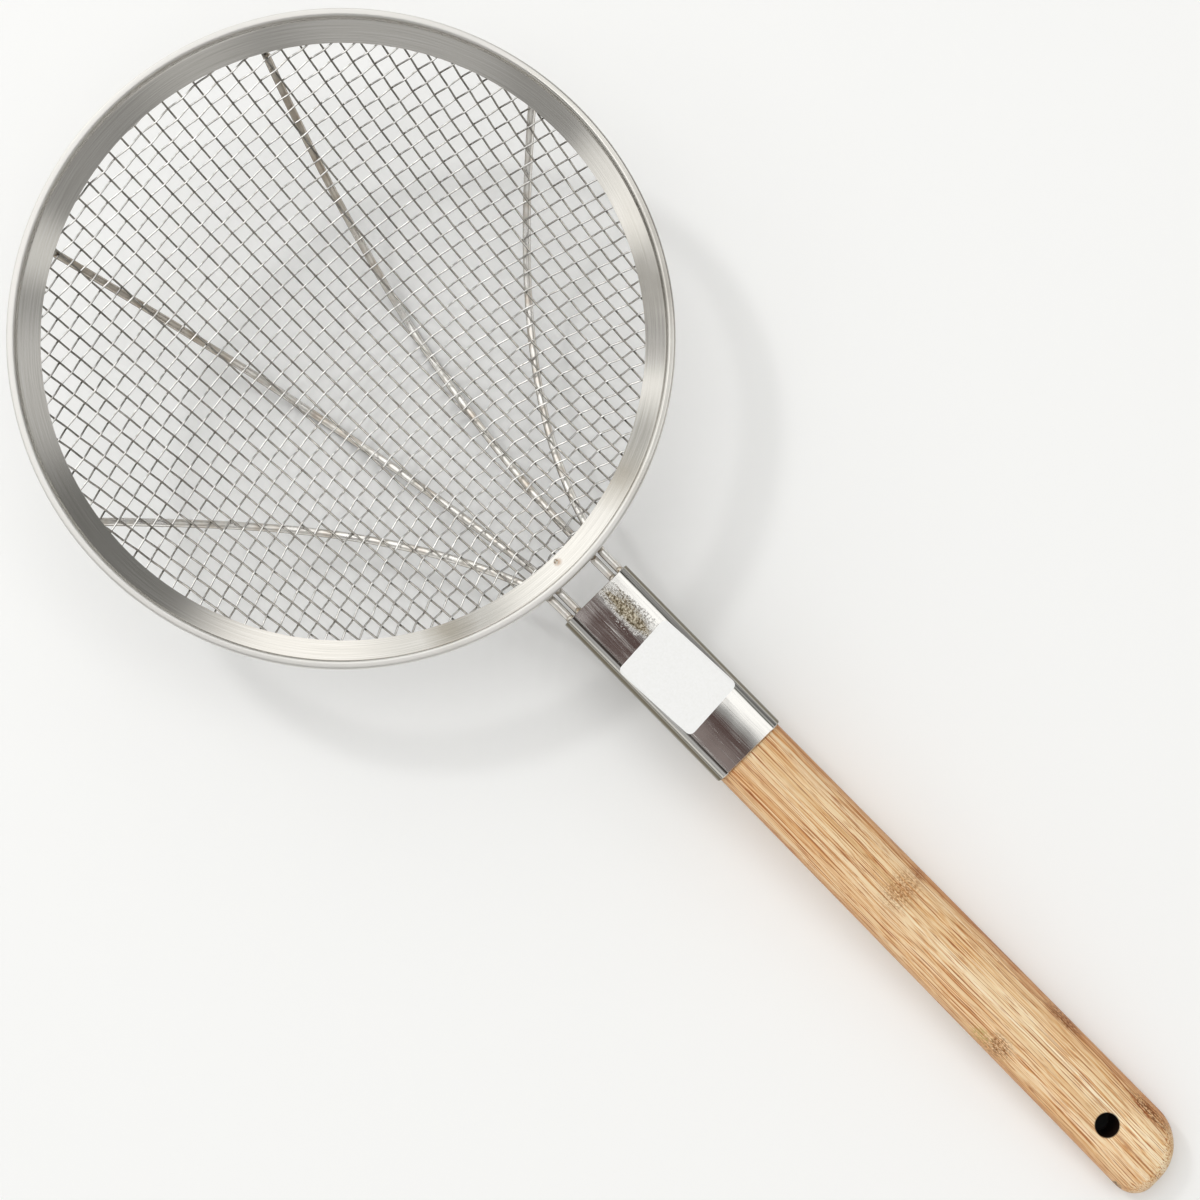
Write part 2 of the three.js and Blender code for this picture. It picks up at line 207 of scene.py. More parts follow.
def layered(tree: Tree, colour: Value, layers: Sequence[tuple[Value, Value]], blend: str = "MIX") -> Value:
    """Lays tints over a colour, one after the other.

    Args:
        tree: Tree of the material.
        colour: Colour to start from.
        layers: For each tint how much of it shows, and its colour as a node, a socket or sRGB hex.
        blend: How the tints are laid on.

    Returns:
        Socket of the last colour.
    """
    for share, tint in layers:
        colour = add(tree, "ShaderNodeMix", {
            "Factor": share, MIX_A: colour, MIX_B: linear(tint) if isinstance(tint, str) else tint,
        }, data_type="RGBA", blend_type=blend).outputs[MIX_RESULT]
    return colour


@dataclass(frozen=True)
class Lay:
    """How the rim's own frame lies in the row frame.

    Attributes:
        matrix: Takes rim-frame millimetres to row-frame metres.
        tilt: Turn about Y of the strainer as it lies, in radians.
    """

    matrix: Matrix
    tilt: float

    @classmethod
    def from_frame(cls) -> "Lay":
        """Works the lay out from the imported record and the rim's mesh.

        Returns:
            The lay of this row.
        """
        axes = {mount["name"]: Vector(mount["axis"]) for mount in frame["record"]["mounts"]}
        up = axes["hang_face_top"]
        tilt = math.atan2(up.x, up.z)
        turn = Matrix.Rotation(tilt, 4, "Y")
        level = [turn.inverted() @ vertex.co for vertex in frame["nodes"]["rim_band"].data.vertices]
        middle = [(min(p[i] for p in level) + max(p[i] for p in level)) / 2 for i in (0, 1)]
        origin = turn @ Vector((*middle, max(p.z for p in level)))
        return cls(Matrix.Translation(origin) @ turn @ Matrix.Scale(MM, 4), tilt)

    def coordinates(self, tree: Tree) -> Node:
        """Adds Object coordinates turned into the rim's frame to a material.

        Args:
            tree: Tree of the material.

        Returns:
            The node that gives the coordinates, in metres.
        """
        own = add(tree, "ShaderNodeTexCoord")
        return add(tree, "ShaderNodeMapping", {
            "Vector": own.outputs["Object"],
            "Location": tuple(self.matrix.translation),
            "Rotation": (0.0, self.tilt, 0.0),
        }, vector_type="TEXTURE")


LAY = Lay.from_frame()


def loft(name: str, rings: Sequence[Loop], wrap: tuple[bool, bool], caps: Sequence[Sequence[int]] = (),
         lengths: tuple[Sequence[float], Sequence[float]] | None = None) -> Object:
    """Makes a mesh from rings of points that have the same count.

    Args:
        name: Name of the piece.
        rings: Points of each ring, in rim-frame millimetres.
        wrap: Whether the last ring joins the first, and each ring's last point its first.
        caps: Faces that close the ends.
        lengths: Running lengths in mm of the rings and of the points in a ring, for the UV map. Each has one
            more entry where it wraps.

    Returns:
        The new object, linked to the scene.
    """
    count, size = len(rings), len(rings[0])
    faces, corners = [], []
    for i in range(count if wrap[0] else count - 1):
        for j in range(size if wrap[1] else size - 1):
            steps = ((i, j), (i + 1, j), (i + 1, j + 1), (i, j + 1))
            faces.append([(a % count) * size + b % size for a, b in steps])
            corners.extend(steps)
    mesh = bpy.data.meshes.new(name)
    mesh.from_pydata([point for ring in rings for point in ring], [], [*faces, *caps])
    if lengths:
        uv = mesh.uv_layers.new(name=STRIP_MAP)
        for loop, (i, j) in zip(uv.data, corners):
            loop.uv = (lengths[0][i] * MM, lengths[1][j] * MM)
    return link(name, mesh)


def link(name: str, mesh: Mesh) -> Object:
    """Links a mesh to the scene as a new object.

    Args:
        name: Name of the object.
        mesh: Its mesh.

    Returns:
        The new object.
    """
    obj = bpy.data.objects.new(name, mesh)
    bpy.context.scene.collection.objects.link(obj)
    return obj


def lay_down(obj: Object) -> Object:
    """Lays a piece drawn in the rim's frame into the row frame, faces outwards and softly shaded.

    Args:
        obj: Piece at the origin, with its place in its mesh in rim-frame millimetres.

    Returns:
        The same object.
    """
    mesh = obj.data
    mesh.transform(LAY.matrix)
    corners = [[mesh.vertices[v].co for v in face.vertices] for face in mesh.polygons]
    volume = sum(c[0].dot(c[k].cross(c[k + 1])) for c in corners for k in range(1, len(c) - 1))
    if volume < 0:
        mesh.flip_normals()
    mesh.shade_smooth()
    mesh.set_sharp_from_angle(angle=SMOOTH_ANGLE)
    mesh.update()
    return obj


def set_inputs(modifier: bpy.types.Modifier, values: dict[str, object]) -> None:
    """Sets a Geometry Nodes modifier's inputs by their sockets' identifiers.

    Args:
        modifier: Modifier whose tree has the named inputs.
        values: Value of each input by its name.
    """
    for item in modifier.node_group.interface.items_tree:
        if item.item_type == "SOCKET" and item.in_out == "INPUT" and item.name in values:
            modifier[item.identifier] = values[item.name]


def grown(name: str, mesh: Mesh, tree: Tree, values: dict[str, object]) -> Object:
    """Runs a geometry tree on a mesh and keeps the result as a plain mesh.

    Args:
        name: Name of the piece.
        mesh: Mesh that the tree starts from.
        tree: Geometry tree.
        values: The tree's inputs by name.

    Returns:
        The finished object, without modifiers.
    """
    obj = link(name, mesh)
    modifier = obj.modifiers.new("shape", "NODES")
    modifier.node_group = tree
    set_inputs(modifier, values)
    evaluated = obj.evaluated_get(bpy.context.evaluated_depsgraph_get())
    baked = bpy.data.meshes.new_from_object(evaluated)
    obj.modifiers.clear()
    obj.data = baked
    baked.name = name
    return obj


def finish_tree(tree: Tree, shape: Node, material: Socket) -> None:
    """Ends a geometry tree: notes how far each point faces up, realizes the shape and gives it its material.

    Args:
        tree: Geometry tree to end.
        shape: Node that gives the shape.
        material: Group input with the material.
    """
    facing = add(tree, "ShaderNodeSeparateXYZ", {"Vector": add(tree, "GeometryNodeInputNormal")})
    whole = add(tree, "GeometryNodeRealizeInstances", {"Geometry": shape})
    noted = add(tree, "GeometryNodeStoreNamedAttribute", {
        "Geometry": whole, "Name": UPWARD, "Value": facing.outputs["Z"],
    }, data_type="FLOAT", domain="POINT")
    dressed = add(tree, "GeometryNodeSetMaterial", {"Geometry": noted, "Material": material})
    add(tree, "NodeGroupOutput", {"Geometry": dressed})


def geometry_tree(name: str, sizes: dict[str, str]) -> tuple[Tree, Node]:
    """Starts a geometry tree with a geometry in and out and its named inputs.

    Args:
        name: Name of the tree.
        sizes: Socket type of each input by its name.

    Returns:
        The tree and its group input node.
    """
    tree = bpy.data.node_groups.new(name, "GeometryNodeTree")
    tree.interface.new_socket("Geometry", in_out="INPUT", socket_type="NodeSocketGeometry")
    tree.interface.new_socket("Geometry", in_out="OUTPUT", socket_type="NodeSocketGeometry")
    for label, kind in sizes.items():
        tree.interface.new_socket(label, in_out="INPUT", socket_type=kind)
    return tree, add(tree, "NodeGroupInput")


@dataclass(frozen=True)
class BowlForm:
    """Sizes that the rim, the net and the rods share, in millimetres.

    Sections are [radius, height] with the top of the rolled bead at height 0.
    """

    rim_radius: float = 120.0
    rim_width: float = 10.5
    lip_depth: float = 7.5
    valley_inset: float = 3.2
    valley_depth: float = 3.2
    strip: float = 0.5
    bead_radius: float = 1.5
    depth: float = 57.0
    net_thickness: float = 1.6
    rod_diameter: float = 3.0
    clearance: float = 0.3

    @property
    def lip(self) -> Vector:
        """Inner edge of the rim's upper leaf."""
        return Vector((self.rim_radius - self.rim_width, -self.lip_depth))

    @property
    def valley(self) -> Vector:
        """Crease between the rim's upper leaf and its bead."""
        return Vector((self.rim_radius - self.valley_inset, -self.valley_depth))

    @property
    def leaf_run(self) -> Vector:
        """Direction of the leaf's slope, outwards."""
        return (self.valley - self.lip).normalized()

    @property
    def net_below_leaf(self) -> float:
        """Distance from the upper leaf's middle down to the net's middle."""
        return self.strip / 2 + self.clearance + self.net_thickness / 2

    @property
    def rod_below_leaf(self) -> float:
        """Distance from the upper leaf's middle down to a rod's middle."""
        return 2 * self.net_below_leaf + self.strip / 2 + self.clearance + self.rod_diameter / 2

    def below(self, point: Vector, distance: float) -> Vector:
        """Point square below the leaf by a distance."""
        return point + Vector((self.leaf_run.y, -self.leaf_run.x)) * distance

    @property
    def net_bend(self) -> Vector:
        """Where the net leaves the rim's leaves and starts its cap."""
        return self.below(self.lip, self.net_below_leaf)

    @property
    def cap_radius(self) -> float:
        """Radius of the net's spherical cap."""
        drop = self.depth + self.net_bend.y
        return (self.net_bend.x ** 2 + drop ** 2) / (2 * drop)

    @property
    def cap_centre(self) -> float:
        """Height of the cap's centre."""
        return self.cap_radius - self.depth

    @property
    def rod_start(self) -> Vector:
        """Where a rod comes out from under the rim."""
        return self.below(self.valley, self.rod_below_leaf)

    def rod_height(self, radius: float) -> float:
        """Height of a rod's middle at a distance from the bowl's axis.

        Args:
            radius: Distance from the axis.

        Returns:
            The lowest of the level stretch, the slope under the leaf and the curve under the net.
        """
        start = self.rod_start
        under_leaf = start.y + (radius - start.x) * self.leaf_run.y / self.leaf_run.x
        reach = self.cap_radius + self.net_thickness / 2 + self.clearance + self.rod_diameter / 2
        under_net = self.cap_centre - math.sqrt(max(reach ** 2 - radius ** 2, 0.0))
        return min(start.y, under_leaf, under_net)


FORM = BowlForm()


@dataclass(frozen=True)
class Finish:
    """A finish: the material of a piece and the record's slot that it belongs to.

    Attributes:
        name: Name of the material.
        slot: Slot of the record.
        base: Main colour as sRGB hex.
        roughness: Roughness of the plain surface.
    """

    name: str
    slot: str
    base: str
    roughness: float

    def material(self) -> Material:
        """Builds the material.

        Returns:
            The finished material.
        """
        made = bpy.data.materials.new(self.name)
        made.use_nodes = True
        tree = made.node_tree
        shader = tree.nodes["Principled BSDF"]
        feed(tree, shader, {"Base Color": linear(self.base), "Roughness": self.roughness})
        feed(tree, shader, self.detail(tree))
        return made

    def detail(self, tree: Tree) -> Links:
        """Adds the finish's own pattern and gives what feeds the shader; each kind of finish has its own."""
        raise NotImplementedError


@dataclass(frozen=True)
class DrawnWire(Finish):
    """Drawn stainless wire: bright on top and painted dull grey on its sides as shade, with spots along it.
    """

    name: str = "drawn_stainless_wire"
    slot: str = "wire_mesh"
    base: str = "#F0EFEC"
    roughness: float = 0.19
    dullest: float = 0.12
    glossiest: float = -0.06
    spot_mm: float = 3.0
    metallic: float = 1.0
    dark: str = "#CBC8C2"
    light: str = "#FAFAF8"
    # Painted shade: tones set by how far the wire faces up, dark on its sides and bright on top.
    sides: Stops = ((0.05, "#77716A"), (0.35, "#B9B5AE"), (0.6, "#FFFFFF"))

    def detail(self, tree: Tree) -> Links:
        """Makes the wire a metal whose gloss and tone change along it and round it.

        Args:
            tree: Tree of the material.

        Returns:
            What feeds the shader.
        """
        spots = add(tree, "ShaderNodeTexNoise", {
            "Vector": LAY.coordinates(tree), "Scale": 1.0 / (self.spot_mm * MM),
            "Detail": 4.0, "Roughness": 0.62,
        })
        tone = add(tree, "ShaderNodeValToRGB", {"Fac": spots}, (
            (0.31, self.dark), (0.51, self.base), (0.72, self.light),
        ))
        # Painted shade: the colour darkens the less the surface faces up.
        upward = add(tree, "ShaderNodeAttribute", attribute_name=UPWARD).outputs["Fac"]
        rubbed = add(tree, "ShaderNodeValToRGB", {"Fac": upward}, self.sides)
        colour = layered(tree, tone, ((1.0, rubbed),), "MULTIPLY")
        gloss = add(tree, "ShaderNodeMapRange", {
            "Value": spots,
            "To Min": self.roughness + self.dullest, "To Max": self.roughness + self.glossiest,
        })
        return {"Metallic": self.metallic, "Base Color": self.far_end_shade(tree, colour), "Roughness": gloss}

    def far_end_shade(self, tree: Tree, colour: Value) -> Value:
        """Leaves the tone as it is: only a rod gets painted shade at its far end."""
        return colour


@dataclass(frozen=True)
class PaintedShadeWarpWire(DrawnWire):
    """The warp: the same drawn wire as the weft, painted darker grey as shade, with a rougher gloss."""

    name: str = "warp_wire_painted_shade"
    base: str = "#A39F98"
    roughness: float = 0.24
    dark: str = "#7A766F"
    light: str = "#CCC9C3"


@dataclass(frozen=True)
class RodSteel(DrawnWire):
    """Tumbled stainless rod: satin white on top, with painted shade that turns its sides grey-brown."""

    name: str = "tumbled_stainless_rod"
    slot: str = "rod_steel"
    base: str = "#FAF7F1"
    roughness: float = 0.26
    metallic: float = 0.75
    spot_mm: float = 9.0
    dark: str = "#E2D7CA"
    light: str = "#FFFDFA"
    # Painted shade on the rod's sides, darker the less they face up.
    sides: Stops = ((0.12, "#443D35"), (0.34, "#857B70"), (0.5, "#FFFFFF"))
    # Painted shade: the rods darken towards this tone over their far half, deep under the net.
    dull: str = "#D8D2CA"
    far_shade_mm: Plan = (-8.0, -48.0)

    def far_end_shade(self, tree: Tree, colour: Value) -> Value:
        """Darkens the far half of the rods with painted shade.

        Args:
            tree: Tree of the material.
            colour: Colour so far.

        Returns:
            The colour with the painted shade at the far end.
        """
        along = add(tree, "ShaderNodeSeparateXYZ", {"Vector": LAY.coordinates(tree)})
        share = add(tree, "ShaderNodeMapRange", {
            "Value": along.outputs["X"], "From Min": self.far_shade_mm[0] * MM, "From Max": self.far_shade_mm[1] * MM,
        })
        return layered(tree, colour, ((share, self.dull),), "MULTIPLY")


@dataclass(frozen=True)
class HiddenWire(DrawnWire):
    """Drawn wire inside the bead: the plain spots, without the painted shade on its sides."""

    name: str = "core_wire_steel"
    slot: str = "rod_steel"
    sides: Stops = ((0.0, "#FFFFFF"), (1.0, "#FFFFFF"))


@dataclass(frozen=True)
class RimMark:
    """A mark on the rim: a heat mark, a stain, or a patch of painted shade.

    Attributes:
        middle: Its middle in mm.
        radius: Its radius in mm.
        colour: Its colour as sRGB hex.
        strength: How strongly it shows.
    """

    middle: Point
    radius: float
    colour: str
    strength: float


@dataclass(frozen=True)
class BrushedRim(Finish):
    """Stainless strip brushed along its length: soft grey bands that run round the rim, and a weld mark.

    The brushing's real lines are near 0.1 mm apart, too fine to show, so they are drawn coarser.
    """

    name: str = "brushed_stainless_strip"
    slot: str = "rim_steel"
    base: str = "#D6D3CD"
    roughness: float = 0.17
    glossiest: float = -0.05
    dullest: float = 0.06
    line_mm: Point = (40.0, 0.35, 1000.0)
    cloud_mm: float = 18.182
    dark: str = "#C5C2BB"
    light: str = "#E2E0DC"
    rubbed: str = "#E6E4E0"
    rubbed_roughness: float = 0.4
    bead_mm: Plan = (116.7, 117.3)
    bare_towards: Point = (0.5, 0.87, 0.0)
    bare_mm: Plan = (72.0, 100.0)
    bare_rub: float = 0.1
    rim_mark_core: float = 0.2
    stains_and_shade: tuple[RimMark, ...] = (
        RimMark((112.1, -1.6, -5.8), 2.0, "#94662E", 1.2),
        RimMark((102.0, -46.5, -5.8), 11.0, "#8E8266", 1.0),
        RimMark((105.0, 36.0, -5.8), 14.0, "#A59A86", 0.8),
        # Painted shade: this wide grey patch darkens the band and bead over one stretch of the rim.
        RimMark((62.0, 101.0, -1.0), 44.0, "#A5A19A", 1.3),
    )

    def detail(self, tree: Tree) -> Links:
        """Brushes the strip round the rim, rubs its bead matt, lays stained patches on it and darkens one
        stretch with painted shade.

        Args:
            tree: Tree of the material.

        Returns:
            What feeds the shader.
        """
        place = LAY.coordinates(tree)
        strip = add(tree, "ShaderNodeUVMap", uv_map=STRIP_MAP)
        lines = stretched(tree, strip, self.line_mm, detail=5.0, roughness=0.62)
        clouds = add(tree, "ShaderNodeTexNoise", {
            "Vector": place, "Scale": 1.0 / (self.cloud_mm * MM), "Detail": 3.0,
        })
        tone = add(tree, "ShaderNodeValToRGB", {"Fac": lines}, (
            (0.28, self.dark), (0.5, self.base), (0.74, self.light),
        ))
        bead = add(tree, "ShaderNodeMapRange", {
            "Value": plan_reach(tree, place), "From Min": self.bead_mm[0], "From Max": self.bead_mm[1],
        })
        side = add(tree, "ShaderNodeVectorMath", {0: place, 1: self.bare_towards}, operation="DOT_PRODUCT")
        kept = add(tree, "ShaderNodeMapRange", {
            "Value": side.outputs["Value"],
            "From Min": self.bare_mm[0] * MM, "From Max": self.bare_mm[1] * MM,
            "To Min": 1.0, "To Max": self.bare_rub,
        })
        rubbed = add(tree, "ShaderNodeMath", {0: bead, 1: kept}, operation="MULTIPLY")
        layers = [(rubbed, self.rubbed)]
        for rim_mark in self.stains_and_shade:
            reach = add(tree, "ShaderNodeVectorMath", {
                0: place, 1: tuple(c * MM for c in rim_mark.middle),
            }, operation="DISTANCE")
            near = add(tree, "ShaderNodeMapRange", {
                "Value": reach.outputs["Value"], "From Min": rim_mark.radius * MM,
                "From Max": self.rim_mark_core * rim_mark.radius * MM, "To Max": rim_mark.strength,
            })
            patchy = add(tree, "ShaderNodeMath", {0: near, 1: clouds}, operation="MULTIPLY")
            layers.append((patchy, rim_mark.colour))
        brushed = add(tree, "ShaderNodeMapRange", {
            "Value": lines,
            "To Min": self.roughness + self.glossiest, "To Max": self.roughness + self.dullest,
        })
        return {
            "Metallic": 1.0, "Anisotropic": 0.55, "Anisotropic Rotation": 0.25,
            "Base Color": layered(tree, tone, layers),
            "Roughness": add(tree, "ShaderNodeMapRange", {
                "Value": rubbed, "To Min": brushed, "To Max": self.rubbed_roughness,
            }),
            "Normal": add(tree, "ShaderNodeBump", {"Strength": 0.12, "Distance": 0.05 * MM, "Height": lines}),
            "Tangent": add(tree, "ShaderNodeTangent", direction_type="UV_MAP", uv_map=STRIP_MAP),
        }


@dataclass(frozen=True)
class PolishedFerrule(Finish):
    """Polished stainless tube: mirror-bright, rubbed lengthwise, mottled by heat near its mouth."""

    name: str = "polished_stainless_tube"
    slot: str = "ferrule_steel"
    base: str = "#E6E4E0"
    roughness: float = 0.06
    glossiest: float = -0.02
    dullest: float = 0.07
    scratch_mm: Point = (30.0, 0.45, 0.45)
    scratch_roughness: float = 0.25
    grain_mm: float = 0.7
    grains: Stops = ((0.38, "#4C4335"), (0.48, "#8D7F66"), (0.6, "#EFE6D2"))
    wave_mm: float = 16.667
    worn_place_mm: Plan = (142.5, 4.0)
    worn_reach_mm: Plan = (17.0, 5.2)
    worn_edge: Plan = (2.15, 1.75)
    worn_roughness: float = 0.22
    smear_mm: Point = (26.0, 2.0, 2.0)
    smear_roughness: float = 0.14
    # Painted shade: the tube turns dark olive below its top, so its sides and outline read dark.
    painted_side_shade: str = "#5C5238"
    painted_side_shade_mm: Plan = (-4.3, -5.5)
    painted_side_shade_strength: float = 0.92

    def detail(self, tree: Tree) -> Links:
        """Rubs the tube lengthwise, darkens its lower sides with painted shade and wears a grainy patch near
        its mouth.

        Args:
            tree: Tree of the material.

        Returns:
            What feeds the shader.
        """
        place = LAY.coordinates(tree)
        rub = stretched(tree, place, self.scratch_mm, detail=4.0, roughness=0.6)
        smear = stretched(tree, place, self.smear_mm, detail=4.0, roughness=0.6)
        grains = add(tree, "ShaderNodeTexNoise", {
            "Vector": place, "Scale": 1.0 / (self.grain_mm * MM), "Detail": 4.0, "Roughness": 0.75,
        })
        waves = add(tree, "ShaderNodeTexNoise", {
            "Vector": place, "Scale": 1.0 / (self.wave_mm * MM), "Detail": 1.0,
        })
        reach = plan_reach(tree, place, self.worn_place_mm, self.worn_reach_mm)
        ragged = formula(tree, {"grains": grains, "smear": smear, "reach": reach}, (
            ("speckled", "MULTIPLY", "grains", 1.5),
            ("torn", "MULTIPLY", "smear", 1.2),
            ("rough", "ADD", "speckled", "torn"),
            ("all", "ADD", "rough", "reach"),
        ))["all"]
        worn = add(tree, "ShaderNodeMapRange", {
            "Value": ragged, "From Min": self.worn_edge[0], "From Max": self.worn_edge[1],
        })
        # Painted shade: darker the lower a point lies on the tube's sides.
        low = add(tree, "ShaderNodeMapRange", {
            "Value": add(tree, "ShaderNodeSeparateXYZ", {"Vector": place}).outputs["Z"],
            "From Min": self.painted_side_shade_mm[0] * MM, "From Max": self.painted_side_shade_mm[1] * MM,
            "To Max": self.painted_side_shade_strength,
        })
        tone = layered(tree, linear(self.base), (
            (worn, add(tree, "ShaderNodeValToRGB", {"Fac": grains}, self.grains)), (low, self.painted_side_shade),
        ))
        rubbed = add(tree, "ShaderNodeMapRange", {
            "Value": rub, "From Min": 0.35, "From Max": 0.72,
            "To Min": self.roughness + self.glossiest, "To Max": self.roughness + self.dullest,
        })
        scored = add(tree, "ShaderNodeMapRange", {
            "Value": rub, "From Min": 0.66, "From Max": 0.7, "To Max": self.scratch_roughness,
        })
        hazy = add(tree, "ShaderNodeMapRange", {
            "Value": smear, "From Min": 0.48, "From Max": 0.74, "To Max": self.smear_roughness,
        })
        known = {"worn": worn, "rubbed": rubbed, "scored": scored, "hazy": hazy, "grains": grains}
        shine = formula(tree, known, (
            ("dull", "MULTIPLY", "worn", self.worn_roughness),
            ("duller", "ADD", "dull", "rubbed"),
            ("hazed", "ADD", "duller", "hazy"),
            ("gloss", "ADD", "hazed", "scored"),
            ("pits", "MULTIPLY", "worn", "grains"),
        ))
        bump = add(tree, "ShaderNodeBump", {"Strength": 0.9, "Distance": 0.3 * MM, "Height": shine["pits"]})
        for strength, depth_mm, height in ((0.15, 0.04, rub), (0.3, 0.5, waves)):
            bump = add(tree, "ShaderNodeBump", {
                "Strength": strength, "Distance": depth_mm * MM, "Height": height, "Normal": bump,
            })
        return {"Metallic": 1.0, "Base Color": tone, "Roughness": shine["gloss"], "Normal": bump}


@dataclass(frozen=True)
class HeatTintedWeld(Finish):
    """Bare weld metal: rough grey beads with straw and brown heat tints."""

    name: str = "heat_tinted_weld"
    slot: str = "rod_steel"
    base: str = "#BDB6AA"
    roughness: float = 0.32
    tint_mm: float = 1.1
    dark: str = "#8C6A42"
    light: str = "#DAD6CE"

    def detail(self, tree: Tree) -> Links:
        """Tints the weld in small clouds.

        Args:
            tree: Tree of the material.

        Returns:
            What feeds the shader.
        """
        clouds = add(tree, "ShaderNodeTexNoise", {
            "Vector": LAY.coordinates(tree), "Scale": 1.0 / (self.tint_mm * MM),
            "Detail": 3.0, "Roughness": 0.6,
        })
        return {
            "Metallic": 1.0,
            "Base Color": add(tree, "ShaderNodeValToRGB", {"Fac": clouds}, (
                (0.34, self.dark), (0.5, self.base), (0.66, self.light),
            )),
            "Normal": add(tree, "ShaderNodeBump", {"Strength": 0.4, "Distance": 0.2 * MM, "Height": clouds}),
        }


@dataclass(frozen=True)
class BambooMark:
    """A node or worn spot on the bamboo, as an ellipse in plan.

    Attributes:
        place: Its middle in mm.
        reach: Half its length and half its width in mm.
        colour: Colour of its specks.
        strength: How dense the specks are.
    """

    place: Plan
    reach: Plan
    colour: str
    strength: float


@dataclass(frozen=True)
class BambooTint:
    """A slow change of the bamboo's colour along or across the handle.

    Attributes:
        axis: Axis along which it changes.
        near: Where it starts, in mm.
        far: Where it is full, in mm.
        colour: Colour that it multiplies with.
        strength: How much of it shows where it is full.
    """

    axis: str
    near: float
    far: float
    colour: str
    strength: float


